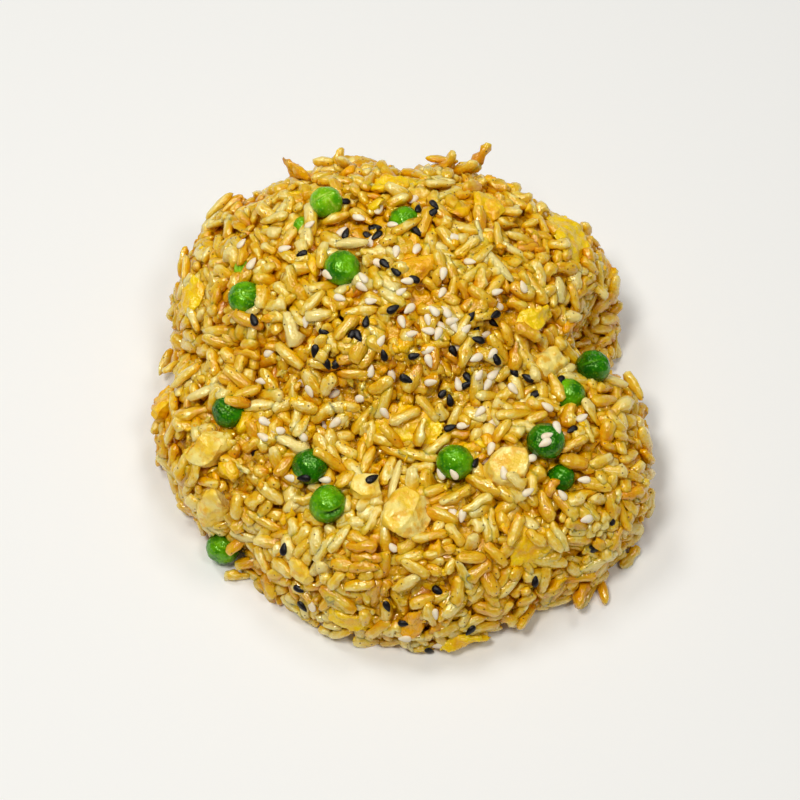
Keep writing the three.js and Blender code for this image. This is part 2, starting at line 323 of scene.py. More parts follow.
@dataclass(frozen=True)
class Stray:
    """A grain that sticks out of the outline.

    It leaves the heap at a bearing and a rise from the heart, is turned on the surface by its heading and
    lifted off it, all in degrees, and its middle is that many millimetres out.
    """

    bearing: float
    rise: float
    heading: float
    lift: float
    out: float
    length: float = 8.2

    def place(self) -> tuple[np.ndarray, np.ndarray]:
        """Finds where the grain lies.

        Returns:
            Its middle, and the direction that it points in.
        """
        bearing, rise = math.radians(self.bearing), math.radians(self.rise)
        towards = np.append(np.array([math.cos(bearing), math.sin(bearing)]) * math.cos(rise), math.sin(rise))
        point = HEAP.surface(towards[None])
        facing = HEAP.facing(point)[0]
        level = unit(np.cross((0, 0, 1), facing))
        uphill = np.cross(facing, level)
        heading, lift = math.radians(self.heading), math.radians(self.lift)
        flat = level * math.cos(heading) + uphill * math.sin(heading)
        return point[0] + facing * self.out, flat * math.cos(lift) + facing * math.sin(lift)


STRAYS = (
    Stray(74, 27, 165, 40, 2.4), Stray(78, 28, 140, 50, 2.6), Stray(104, 28, 60, 30, 2.0),
    Stray(149, 17, 170, 12, 1.8), Stray(168, 6, 20, 40, 2.4),
    Stray(-46, -3, 180, 45, 2.2), Stray(-60, -3, 170, 30, 1.6), Stray(-12, 10, 70, 10, 1.6),
    Stray(30, 12, 60, 15, 1.6),
)


@dataclass(frozen=True)
class Sight:
    """The view that the heap is shown from: the eye's place over the table, and a square frame.

    Sizes are in millimetres, apart from the frame's side in pixels and the clipping in metres.
    """

    target: Triple = (0, 0, 17)
    elevation: float = 60.0
    distance: float = 450.0
    side: int = 800
    pixel: float = 0.238
    search: float = 60.0
    stride: float = 0.25
    lowest: float = 1.0
    grazing: float = 0.35
    sensor: float = 36.0
    clipping: Span = (0.02, 20.0)

    def axes(self) -> tuple[np.ndarray, np.ndarray, np.ndarray, np.ndarray]:
        """Works out how the eye stands.

        Returns:
            Its place, and the directions to its right, up and back.
        """
        rise = math.radians(self.elevation)
        back = np.array([0, -math.cos(rise), math.sin(rise)])
        eye = np.array(self.target, float) + back * self.distance
        return eye, np.array([1.0, 0, 0]), np.array([0, math.sin(rise), math.cos(rise)]), back

    def ray(self, column: float, row: float) -> tuple[np.ndarray, np.ndarray]:
        """Looks through a place in the view.

        Args:
            column: The place's column.
            row: The place's row.

        Returns:
            The eye's place, and the direction from it.
        """
        eye, right, up, back = self.axes()
        middle, focus = self.side / 2, self.distance / self.pixel
        return eye, unit(right * (column - middle) / focus + up * (middle - row) / focus - back)

    def onto(self, column: float, row: float, over: float) -> np.ndarray:
        """Finds where a line of sight meets the heap.

        Args:
            column: The column of a place in the view.
            row: Its row.
            over: How many millimetres over the heap's surface the line is followed to.

        Returns:
            The first such place, or the nearest that the line comes to one.
        """
        eye, ray = self.ray(column, row)
        reaches = np.arange(self.distance - self.search, self.distance + self.search, self.stride)
        line = eye + ray * reaches[:, None]
        heights = HEAP.over(line)
        standing = line[:, 2] > self.lowest
        inside = np.nonzero((heights < over) & standing)[0]
        return line[inside[0]] if len(inside) else line[np.argmin(np.where(standing, heights, np.inf))]

    def tangent(self, column: float, row: float, heading: float, out: np.ndarray) -> np.ndarray:
        """Finds the direction along a surface that shows in the view at a heading.

        Args:
            column: The column of a place in the view.
            row: Its row.
            heading: Degrees from the right, anticlockwise.
            out: Where the surface faces.

        Returns:
            The direction, with length one.
        """
        _, ray = self.ray(column, row)
        _, right, up, _ = self.axes()
        shown = right * math.cos(math.radians(heading)) + up * math.sin(math.radians(heading))
        return unit(shown - ray * (shown @ out) / min(ray @ out, -self.grazing))

    def camera(self) -> None:
        """Makes the camera and looks through it."""
        eye, right, up, back = self.axes()
        data = bpy.data.cameras.new("camera")
        data.sensor_width = self.sensor
        data.lens = self.sensor * self.distance / self.pixel / self.side
        data.clip_start, data.clip_end = self.clipping
        camera = bpy.data.objects.new("camera", data)
        turn = Matrix((right, up, back)).transposed().to_4x4()
        camera.matrix_world = Matrix.Translation(Vector(eye * MM)) @ turn
        bpy.context.scene.collection.objects.link(camera)
        bpy.context.scene.camera = camera


HEAP = Heap()
SIGHT = Sight()
# Column and row in the view, reach and depth in millimetres.
DENTS = (
    (602, 344, 6.5, 9.0), (634, 382, 7.0, -2.5), (176, 500, 9.0, 3.6), (403, 164, 8.0, 2.6),
    (599, 344, 8.0, 15.0), (604, 250, 8.0, -1.6), (623, 560, 6.0, 1.6),
)
HEAP = replace(HEAP, dents=tuple(Dent(*SIGHT.onto(column, row, 0.0), reach, depth)
                                 for column, row, reach, depth in DENTS))


# ---- Finishes -------------------------------------------------------------------------------------------


class Graph:
    """Builds the nodes of one material or node group."""

    def __init__(self, tree: bpy.types.NodeTree) -> None:
        """Starts on an empty tree."""
        self.tree = tree
        tree.nodes.clear()

    def add(self, kind: str, **settings: object) -> bpy.types.Node:
        """Adds a node and sets what its keywords name: settings first, then inputs.

        Args:
            kind: The node's type, without ShaderNode.
            settings: Properties of the node, or inputs by number as in0, in1.

        Returns:
            The new node.
        """
        node = self.tree.nodes.new(kind if kind.startswith("Node") else f"ShaderNode{kind}")
        for name, value in settings.items():
            if name.startswith("in") and name[2:].isdigit():
                self.feed(node.inputs[int(name[2:])], value)
            else:
                setattr(node, name, value)
        return node

    def feed(self, socket: bpy.types.NodeSocket, value: object) -> None:
        """Links a socket to another one, or sets its value.

        Args:
            socket: The input to feed.
            value: The other node's output, or the value.
        """
        if isinstance(value, bpy.types.NodeSocket):
            self.tree.links.new(value, socket)
        elif isinstance(value, tuple) and len(value) == 3 and socket.type == "RGBA":
            socket.default_value = (*value, 1.0)
        else:
            socket.default_value = value

    def position(self) -> bpy.types.NodeSocket:
        """Object coordinates."""
        return self.add("TexCoord").outputs["Object"]

    def mix(self, share: object, first: object, second: object) -> bpy.types.NodeSocket:
        """Mixes two colours.

        Args:
            share: How much of the second there is, from 0 to 1.
            first: The first colour.
            second: The second colour.

        Returns:
            The colour between them.
        """
        node = self.add("Mix", data_type="RGBA", blend_type="MIX", clamp_factor=True)
        for name, value in (("Factor_Float", share), ("A_Color", first), ("B_Color", second)):
            self.feed(next(s for s in node.inputs if s.identifier == name), value)
        return next(s for s in node.outputs if s.identifier == "Result_Color")

    def math(self, operation: str, first: object, second: object) -> bpy.types.NodeSocket:
        """One sum on two values."""
        return self.add("Math", operation=operation, in0=first, in1=second).outputs[0]

    def span(self, value: object, low: float, high: float, to_low: float = 0.0,
             to_high: float = 1.0) -> bpy.types.NodeSocket:
        """A value mapped from one span to another, and held inside it."""
        return self.add("MapRange", in0=value, in1=low, in2=high, in3=to_low, in4=to_high).outputs[0]

    def attribute(self, name: str, output: str = "Fac") -> bpy.types.NodeSocket:
        """What the mesh stores for each vertex: a number, or a vector where the output says so."""
        return self.add("Attribute", attribute_name=name).outputs[output]

    def group(self, group: bpy.types.NodeTree, **inputs: object) -> bpy.types.NodeSocket:
        """Places a node group.

        Args:
            group: The group.
            inputs: The values of its inputs, by name.

        Returns:
            Its one output.
        """
        node = self.add("Group", node_tree=group)
        for name, value in inputs.items():
            self.feed(node.inputs[name.title()], value)
        return node.outputs[0]


class Effects:
    """Node groups that several finishes share, each made once."""

    DETAIL = 3.0
    BREAKUP = 0.55
    FLECK_CORE = 0.6
    SKIN_DETAIL = 0.5
    SKIN_LAYERS = (("Coarse", 0.65), ("Fine", 0.35))

    _made: dict[str, bpy.types.NodeTree] = {}

    @classmethod
    def _new(cls, name: str, inputs: dict[str, float | None],
             output: str) -> tuple[Graph, bpy.types.Node, bpy.types.Node]:
        """Starts a group.

        Args:
            name: The group's name.
            inputs: Each input's name and default, or None for a place.
            output: The name of the value that it puts out.

        Returns:
            The group's graph, its input node and its output node.
        """
        tree = bpy.data.node_groups.new(name, "ShaderNodeTree")
        for label, default in inputs.items():
            kind = "NodeSocketVector" if default is None else "NodeSocketFloat"
            socket = tree.interface.new_socket(label, in_out="INPUT", socket_type=kind)
            if default is not None:
                socket.default_value = default
        tree.interface.new_socket(output, in_out="OUTPUT", socket_type="NodeSocketFloat")
        graph = Graph(tree)
        cls._made[name] = tree
        return graph, graph.add("NodeGroupInput"), graph.add("NodeGroupOutput")

    @classmethod
    def mottle(cls) -> bpy.types.NodeTree:
        """Makes soft uneven patches.

        Returns:
            The group, which puts out 0 to 1.
        """
        if "mottle" not in cls._made:
            inputs = {"Position": None, "Pitch": 4.0, "Contrast": 0.2}
            graph, given, result = cls._new("mottle", inputs, "Patches")
            scale = graph.math("DIVIDE", 1 / MM, given.outputs["Pitch"])
            cloud = graph.add("TexNoise", in2=scale, in3=cls.DETAIL, in4=cls.BREAKUP)
            graph.feed(cloud.inputs["Vector"], given.outputs["Position"])
            low = graph.math("SUBTRACT", 0.5, given.outputs["Contrast"])
            high = graph.math("ADD", 0.5, given.outputs["Contrast"])
            spread = graph.add("MapRange", in0=cloud.outputs["Fac"], in1=low, in2=high)
            graph.feed(result.inputs[0], spread.outputs[0])
        return cls._made["mottle"]

    @classmethod
    def specks(cls) -> bpy.types.NodeTree:
        """Makes small round flecks.

        Returns:
            The group, which puts out 1 on a fleck and 0 elsewhere.
        """
        if "specks" not in cls._made:
            inputs = {"Position": None, "Spacing": 2.0, "Size": 0.15, "Share": 0.4}
            graph, given, result = cls._new("specks", inputs, "Flecks")
            scale = graph.math("DIVIDE", 1 / MM, given.outputs["Spacing"])
            cells = graph.add("TexVoronoi")
            graph.feed(cells.inputs["Vector"], given.outputs["Position"])
            graph.feed(cells.inputs["Scale"], scale)
            edge = graph.math("DIVIDE", given.outputs["Size"], given.outputs["Spacing"])
            core = graph.math("MULTIPLY", edge, cls.FLECK_CORE)
            spot = graph.add("MapRange", in0=cells.outputs["Distance"], in1=edge, in2=core)
            pick = graph.add("SeparateColor", in0=cells.outputs["Color"])
            some = graph.math("LESS_THAN", pick.outputs[0], given.outputs["Share"])
            graph.feed(result.inputs[0], graph.math("MULTIPLY", spot.outputs[0], some))
        return cls._made["specks"]

    @classmethod
    def moist_skin(cls) -> bpy.types.NodeTree:
        """Makes the fine unevenness of a moist surface.

        Returns:
            The group, which puts out a height from 0 to 1.
        """
        if "moist_skin" not in cls._made:
            inputs = {"Position": None, "Coarse": 0.9, "Fine": 0.3}
            graph, given, result = cls._new("moist_skin", inputs, "Height")
            total = None
            for name, weight in cls.SKIN_LAYERS:
                scale = graph.math("DIVIDE", 1 / MM, given.outputs[name])
                cloud = graph.add("TexNoise", in2=scale, in3=cls.SKIN_DETAIL)
                graph.feed(cloud.inputs["Vector"], given.outputs["Position"])
                part = graph.math("MULTIPLY", cloud.outputs["Fac"], weight)
                total = part if total is None else graph.math("ADD", total, part)
            graph.feed(result.inputs[0], total)
        return cls._made["moist_skin"]


@dataclass(frozen=True)
class Surface:
    """What every finish has: how it shines, how light scatters in it, and its fine relief.

    Depths are in millimetres.
    """

    roughness: float = 0.35
    coat: float = 0.3
    coat_roughness: float = 0.12
    specular: float = 0.5
    depth: float = 0.6
    bleed: Triple = (1.0, 0.7, 0.3)
    scatter: float = 0.2
    relief: float = 0.25
    relief_depth: float = 0.12
    sheen_tint: Colour = (1.0, 1.0, 1.0)

    def start(self, name: str) -> tuple[bpy.types.Material, Graph, bpy.types.Node]:
        """Starts a material with its shader.

        Args:
            name: The material's name.

        Returns:
            The material, its graph and its shader node.
        """
        material = bpy.data.materials.new(name)
        material.use_nodes = True
        graph = Graph(material.node_tree)
        shader = graph.add("BsdfPrincipled")
        graph.feed(graph.add("OutputMaterial").inputs["Surface"], shader.outputs[0])
        for label, value in (("Roughness", self.roughness), ("Coat Weight", self.coat),
                             ("Coat Roughness", self.coat_roughness), ("Specular IOR Level", self.specular),
                             ("Subsurface Weight", self.scatter), ("Subsurface Scale", self.depth * MM)):
            shader.inputs[label].default_value = value
        shader.inputs["Subsurface Radius"].default_value = self.bleed
        shader.inputs["Specular Tint"].default_value = (*self.sheen_tint, 1.0)
        return material, graph, shader

    def finish(self, graph: Graph, shader: bpy.types.Node, colour: bpy.types.NodeSocket,
               height: bpy.types.NodeSocket) -> None:
        """Links what varies over the surface.

        Args:
            graph: The material's graph.
            shader: Its shader.
            colour: The surface's colour.
            height: The relief, from 0 to 1.
        """
        graph.feed(shader.inputs["Base Color"], colour)
        bump = graph.add("Bump")
        bump.inputs["Strength"].default_value = self.relief
        bump.inputs["Distance"].default_value = self.relief_depth * MM
        graph.feed(bump.inputs["Height"], height)
        graph.feed(shader.inputs["Normal"], bump.outputs[0])


@dataclass(frozen=True)
class RiceFinish(Surface):
    """Cooked rice, stained by egg and sauce.

    The tint that the mesh stores runs from pale to brown and also holds painted shade, darker on a grain's
    sides and deeper in the heap. The place along and across the grain, in millimetres, gives the fine ridges
    that run from end to end, whose crests are painted paler as a painted highlight.
    """

    pale: Colour = srgb(244, 222, 140)
    cream: Colour = srgb(238, 199, 56)
    yellow: Colour = srgb(233, 178, 0)
    golden: Colour = srgb(224, 148, 0)
    brown: Colour = srgb(160, 74, 0)
    pepper: Colour = srgb(92, 48, 0)
    stops: Triple = (0.18, 0.38, 0.68)
    ridges: Triple = (1.0, 1.0, 0.16)
    # Painted highlight: how much paler the crests of the ridges are painted.
    ridge_highlight: float = 0.12
    mottling: float = 0.12
    staining: Span = (-0.14, 0.26)
    peppering: float = 0.9
    dulling: Span = (-0.04, 0.08)

    def material(self, name: str) -> bpy.types.Material:
        """Makes the material.

        Args:
            name: Its name.

        Returns:
            The material.
        """
        material, graph, shader = self.start(name)
        place = graph.position()
        along = graph.add("Mapping", in0=graph.attribute("along", "Vector"))
        along.inputs["Scale"].default_value = tuple(share * MM for share in self.ridges)
        ridge = graph.group(Effects.moist_skin(), position=along.outputs[0], coarse=0.9, fine=0.45)
        cloud = graph.group(Effects.mottle(), position=place, pitch=1.5, contrast=0.2)
        mottle = graph.span(cloud, 0, 1, -self.mottling, self.mottling)
        tint = graph.math("ADD", graph.attribute("tint"), mottle)
        stain_and_depth_shade = graph.group(Effects.mottle(), position=place, pitch=7.0, contrast=0.2)
        tint = graph.math("ADD", tint, graph.span(stain_and_depth_shade, 0, 1, *self.staining))
        # Painted highlight: the crests of the ridges are made paler.
        tint = graph.math("SUBTRACT", tint, graph.span(ridge, 0.5, 0.66, 0, self.ridge_highlight))
        ramp = graph.add("ValToRGB", in0=tint)
        stops = ramp.color_ramp.elements
        stops[0].color, stops[-1].color = (*self.pale, 1), (*self.brown, 1)
        for stop, shade in zip(self.stops, (self.cream, self.yellow, self.golden)):
            stops.new(stop).color = (*shade, 1)
        flecks = graph.group(Effects.specks(), position=place, spacing=1.4, size=0.25, share=0.55)
        colour = graph.mix(graph.math("MULTIPLY", flecks, self.peppering), ramp.outputs[0], self.pepper)
        skin = graph.group(Effects.moist_skin(), position=place, coarse=0.7, fine=0.32)
        height = graph.math("ADD", graph.math("MULTIPLY", ridge, 0.5), graph.math("MULTIPLY", skin, 0.5))
        dull = graph.span(skin, 0.38, 0.62, *(self.roughness + shift for shift in self.dulling))
        graph.feed(shader.inputs["Roughness"], dull)
        self.finish(graph, shader, colour, height)
        return material


@dataclass(frozen=True)
class MashFinish(Surface):
    """The soft mash of egg, sauce and broken rice that the grains lie in, darkened with painted shade where it
    lies deep under the heap's surface.
    """

    crumb: Colour = srgb(228, 178, 16)
    egg: Colour = srgb(238, 174, 0)
    # Painted shade: the colour that the mash is painted where it lies deepest under the heap's surface.
    hollow: Colour = srgb(84, 34, 0)

    def material(self, name: str) -> bpy.types.Material:
        """Makes the material.

        Args:
            name: Its name.

        Returns:
            The material.
        """
        material, graph, shader = self.start(name)
        place = graph.position()
        patches = graph.group(Effects.mottle(), position=place, pitch=9.0, contrast=0.12)
        base = graph.mix(patches, self.crumb, self.egg)
        # Painted shade: the deeper the mash lies, the more of the dark colour it gets.
        colour = graph.mix(graph.attribute("hollow"), base, self.hollow)
        height = graph.group(Effects.moist_skin(), position=place, coarse=0.8, fine=0.3)
        self.finish(graph, shader, colour, height)
        return material


@dataclass(frozen=True)
class PeaFinish(Surface):
    """A cooked pea's skin, lighter where it is thin or folded, and darkened with painted shade inside a split
    and on its side that faces into the heap.
    """

    dark: Colour = srgb(34, 112, 0)
    light: Colour = srgb(108, 182, 0)
    fold: Colour = srgb(140, 200, 12)
    # Painted shade: the colour inside a split and on the pea's side that faces into the heap.
    split: Colour = srgb(2, 42, 0)
    spotting: float = 0.4
    roughness: float = 0.1
    coat: float = 0.0
    specular: float = 0.9
    scatter: float = 0.1
    bleed: Triple = (0.4, 1.0, 0.1)
    relief: float = 1.0
    relief_depth: float = 0.3
    sheen_tint: Colour = (0.6, 1.0, 0.3)

    def material(self, name: str) -> bpy.types.Material:
        """Makes the material.

        Args:
            name: Its name.

        Returns:
            The material.
        """
        material, graph, shader = self.start(name)
        place = graph.position()
        cloud = graph.group(Effects.mottle(), position=place, pitch=3.4, contrast=0.16)
        base = graph.mix(cloud, self.dark, self.light)
        spots = graph.group(Effects.specks(), position=place, spacing=0.7, size=0.3, share=0.6)
        base = graph.mix(graph.math("MULTIPLY", spots, self.spotting), base, self.fold)
        base = graph.mix(graph.attribute("fold"), base, self.fold)
        # Painted shade inside splits and under the pea.
        colour = graph.mix(graph.attribute("split"), base, self.split)
        height = graph.group(Effects.moist_skin(), position=place, coarse=0.9, fine=0.4)
        self.finish(graph, shader, colour, height)
        return material


@dataclass(frozen=True)
class MeatFinish(Surface):
    """Fried chicken breast: pale fibres with golden seared patches."""

    flesh: Colour = srgb(255, 234, 142)
    golden: Colour = srgb(250, 208, 60)
    seared: Colour = srgb(240, 176, 10)

    def material(self, name: str) -> bpy.types.Material:
        """Makes the material.

        Args:
            name: Its name.

        Returns:
            The material.
        """
        material, graph, shader = self.start(name)
        place = graph.position()
        patches = graph.group(Effects.mottle(), position=place, pitch=5.0, contrast=0.1)
        base = graph.mix(graph.math("ADD", patches, graph.attribute("tint")), self.flesh, self.golden)
        edges = graph.group(Effects.mottle(), position=place, pitch=2.6, contrast=0.12)
        base = graph.mix(graph.span(edges, 0.6, 1.0, 0.0, 0.7), base, self.seared)
        flecks = graph.group(Effects.specks(), position=place, spacing=2.2, size=0.2, share=0.3)
        colour = graph.mix(graph.math("MULTIPLY", flecks, 0.6), base, self.seared)
        height = graph.group(Effects.moist_skin(), position=place, coarse=1.0, fine=0.4)
        self.finish(graph, shader, colour, height)
        return material


@dataclass(frozen=True)
class EggFinish(Surface):
    """Fried egg, from bright yellow to orange, browned where it touched the pan."""

    yellow: Colour = srgb(255, 214, 0)
    orange: Colour = srgb(248, 178, 0)
    browned: Colour = srgb(206, 108, 0)

    def material(self, name: str) -> bpy.types.Material:
        """Makes the material.

        Args:
            name: Its name.

        Returns:
            The material.
        """
        material, graph, shader = self.start(name)
        place = graph.position()
        patches = graph.group(Effects.mottle(), position=place, pitch=4.0, contrast=0.14)
        shift = graph.math("ADD", patches, graph.attribute("tint"))
        base = graph.mix(shift, self.yellow, self.orange)
        pan = graph.group(Effects.mottle(), position=place, pitch=3.0, contrast=0.12)
        browning = graph.math("MULTIPLY", graph.span(pan, 0.45, 1.0), graph.span(shift, 0.4, 1.6, 0.0, 0.85))
        colour = graph.mix(browning, base, self.browned)
        height = graph.group(Effects.moist_skin(), position=place, coarse=0.8, fine=0.3)
        self.finish(graph, shader, colour, height)
        return material


@dataclass(frozen=True)
class SeedFinish(Surface):
    """The skin of a sesame seed."""

    skin: Colour = srgb(250, 240, 218)
    shade: Colour = srgb(232, 206, 150)

    def material(self, name: str) -> bpy.types.Material:
        """Makes the material.

        Args:
            name: Its name.

        Returns:
            The material.
        """
        material, graph, shader = self.start(name)
        place = graph.position()
        patches = graph.group(Effects.mottle(), position=place, pitch=1.6, contrast=0.2)
        colour = graph.mix(graph.math("MULTIPLY", patches, 0.6), self.skin, self.shade)
        height = graph.group(Effects.moist_skin(), position=place, coarse=0.4, fine=0.15)
        self.finish(graph, shader, colour, height)
        return material


WET_GOLD = (1.0, 0.94, 0.74)
RICE = RiceFinish(roughness=0.1, coat=0.25, coat_roughness=0.04, specular=1.0, scatter=0.8, depth=1.1,
                  bleed=(1.0, 0.97, 0.8), relief=1.0, relief_depth=0.5, sheen_tint=WET_GOLD)
MASH = MashFinish(roughness=0.16, coat=0.0, specular=0.8, scatter=0.4, depth=0.8, bleed=(1.0, 0.95, 0.6),
                  relief=1.0, relief_depth=0.5, sheen_tint=WET_GOLD)
CHICKEN_FLESH = MeatFinish(roughness=0.25, coat=0.0, specular=0.7, scatter=0.2, depth=1.0,
                           bleed=(1.0, 0.94, 0.6), relief=1.0, relief_depth=0.3, sheen_tint=WET_GOLD)
FRIED_EGG = EggFinish(roughness=0.16, coat=0.0, specular=0.8, scatter=0.15, depth=1.0, bleed=(1.0, 0.8, 0.1),
                      relief=1.0, relief_depth=0.35, sheen_tint=WET_GOLD)
WHITE_SEED = SeedFinish(roughness=0.45, coat=0.1, scatter=0.2, depth=0.4, relief=0.3, relief_depth=0.05)
BLACK_SEED = SeedFinish(skin=srgb(6, 4, 6), shade=srgb(24, 16, 18), roughness=0.3, coat=0.0, scatter=0.0,
                        specular=0.35, relief=0.6, relief_depth=0.2)


class PeaTone(Enum):
    """How dark a pea is: its own tone, and for the peas that lie in shade also painted shade."""

    # Darker peas: partly their own tone, partly painted shade where they lie in shade.
    DEEP = PeaFinish(dark=srgb(8, 74, 0), light=srgb(44, 132, 0), fold=srgb(100, 176, 0))
    FRESH = PeaFinish()
    PALE = PeaFinish(dark=srgb(80, 164, 0), light=srgb(156, 212, 20), fold=srgb(200, 226, 90),
                     split=srgb(30, 90, 0), bleed=(0.5, 1.0, 0.1))


# ---- Joined meshes --------------------------------------------------------------------------------------


@dataclass
class Shape:
    """A small mesh that is copied many times."""

    points: np.ndarray
    corners: np.ndarray
    sizes: np.ndarray

    @classmethod
    def of(cls, piece: bpy.types.Object) -> "Shape":
        """Reads a mesh and removes its object.

        Args:
            piece: The object with the mesh.

        Returns:
            The mesh as a shape.
        """
        points = points_of(piece)
        corners = np.zeros(len(piece.data.loops), int)
        piece.data.loops.foreach_get("vertex_index", corners)
        sizes = np.zeros(len(piece.data.polygons), int)
        piece.data.polygons.foreach_get("loop_total", sizes)
        bpy.data.objects.remove(piece)
        return cls(points, corners, sizes)


@dataclass
class Scatter:
    """Copies of small shapes, gathered into one mesh.

    Each copy's place along its own axes starts a step further on, so that no two look alike.
    """

    name: str
    points: list[np.ndarray] = field(default_factory=list)
    corners: list[np.ndarray] = field(default_factory=list)
    sizes: list[np.ndarray] = field(default_factory=list)
    tints: list[np.ndarray] = field(default_factory=list)
    alongs: list[np.ndarray] = field(default_factory=list)
    total: int = 0
    step: float = 7.3
    steps_span: float = 997.0
    least_height: float = 0.1

    def add(self, shape: Shape, turn: np.ndarray, place: np.ndarray, tint: float = 0.0,
            out: np.ndarray | None = None, side_shade: float = 0.0) -> None:
        """Adds a copy.

        Args:
            shape: What is copied, in millimetres.
            turn: Three rows by three, whose columns are the copy's own axes times its scale.
            place: Where its middle goes, in millimetres.
            tint: The number that the copy's material reads, at its top.
            out: Which way its top is.
            side_shade: How much painted shade makes the tint grow from the top to the sides.
        """
        points = shape.points @ turn.T + place
        self.points.append(points)
        self.corners.append(shape.corners + self.total)
        self.sizes.append(shape.sizes)
        # Painted shade: given a top direction, the tint grows from the copy's top towards its sides, so the
        # sides are painted darker.
        if out is None:
            self.tints.append(np.full(len(points), tint))
        else:
            height = (points - place) @ out
            self.tints.append(tint + side_shade * (1 - height / max(height.max(), self.least_height)))
        start = (len(self.sizes) * self.step) % self.steps_span
        self.alongs.append(shape.points * np.linalg.norm(turn, axis=0) + start)
        self.total += len(points)

    def piece(self) -> bpy.types.Object:
        """Joins the copies.

        Returns:
            The object with the joined mesh.
        """
        points, corners = np.concatenate(self.points) * MM, np.concatenate(self.corners)
        sizes = np.concatenate(self.sizes)
        mesh = bpy.data.meshes.new(self.name)
        mesh.vertices.add(len(points))
        mesh.vertices.foreach_set("co", points.ravel())
        mesh.loops.add(len(corners))
        mesh.loops.foreach_set("vertex_index", corners)
        mesh.polygons.add(len(sizes))
        mesh.polygons.foreach_set("loop_start", np.concatenate([[0], np.cumsum(sizes)[:-1]]))
        mesh.polygons.foreach_set("use_smooth", [True] * len(sizes))
        mesh.update(calc_edges=True)
        piece = bpy.data.objects.new(self.name, mesh)
        bpy.context.scene.collection.objects.link(piece)
        set_attribute(piece, "tint", np.concatenate(self.tints))
        set_attribute(piece, "along", np.concatenate(self.alongs))
        return piece


def hold(piece: bpy.types.Object) -> None:
    """Keeps every point of a piece inside the model's box."""
    low, high = np.array(CAD_BOX[0]) + MARGIN, np.array(CAD_BOX[1]) - MARGIN
    move_points(piece, np.clip(points_of(piece), low, high))


def dress(piece: bpy.types.Object, material: bpy.types.Material, slot: str, *nodes: str) -> None:
    """Gives a finished piece its material and body, and logs it.

    Args:
        piece: The finished piece.
        material: Its material.
        slot: Its slot; not used.
        nodes: The nodes that it stands for.
    """
    piece.data.materials.clear()
    piece.data.materials.append(material)
    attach(piece, ROOT)
    if nodes:
        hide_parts(*nodes)
    faces = sum(len(face.vertices) - 2 for face in piece.data.polygons)
    LOG.info("%s: %d triangles", piece.name, faces)


# ---- Rice -----------------------------------------------------------------------------------------------


@dataclass
class Bed:
    """The mash under the loose grains: the heap's core with crumbly relief, flat where it rests.

    Sizes are in millimetres. A layer of relief is a pattern, its pitch, its height and its level that stays.
    """

    sunk: float = 1.5
    cellar: float = -4.0
    foot: float = 0.3
    voxel: float = 0.56
    relief: tuple[tuple[str, float, float, float], ...] = (
        ("CLOUDS", 5.0, 1.8, 0.5), ("VORONOI", 2.4, 2.2, 0.6), ("CLOUDS", 0.9, 0.5, 0.5))
    # The heights over the core's surface, in millimetres, where painted shade on the mash starts and where it
    # is full.
    hollow_from: float = -1.7
    hollow_to: float = -2.8

    def build(self) -> None:
        """Models the bed and dresses it."""
        deselect()
        bpy.ops.mesh.primitive_ico_sphere_add(subdivisions=6, radius=1.0, location=(0, 0, 0))
        piece = bpy.context.object
        piece.name = piece.data.name = "rice_bed"
        points = HEAP.surface(unit(points_of(piece)), -self.sunk)
        points[:, 2] = np.maximum(points[:, 2], self.cellar)
        move_points(piece, points * MM)
        remesh = piece.modifiers.new("Even", "REMESH")
        remesh.mode, remesh.voxel_size = "VOXEL", self.voxel * MM
        for pattern, pitch, height, middle in self.relief:
            displace(piece, pattern, pitch * MM, height * MM, middle)
        apply_modifiers(piece)
        bpy.ops.object.mode_set(mode="EDIT")
        bpy.ops.mesh.select_all(action="SELECT")
        bpy.ops.mesh.bisect(plane_co=(0, 0, self.foot * MM), plane_no=(0, 0, 1), use_fill=True,
                            clear_inner=True)
        bpy.ops.object.mode_set(mode="OBJECT")
        shade_smooth(piece)
        # Painted shade: the deeper the mash lies under the core's surface, the darker it is painted.
        depth = HEAP.over(points_of(piece) / MM)
        shade = np.clip((depth - self.hollow_from) / (self.hollow_to - self.hollow_from), 0, 1)
        set_attribute(piece, "hollow", shade)
        dress(piece, MASH.material("mash"), "rice", "rice")


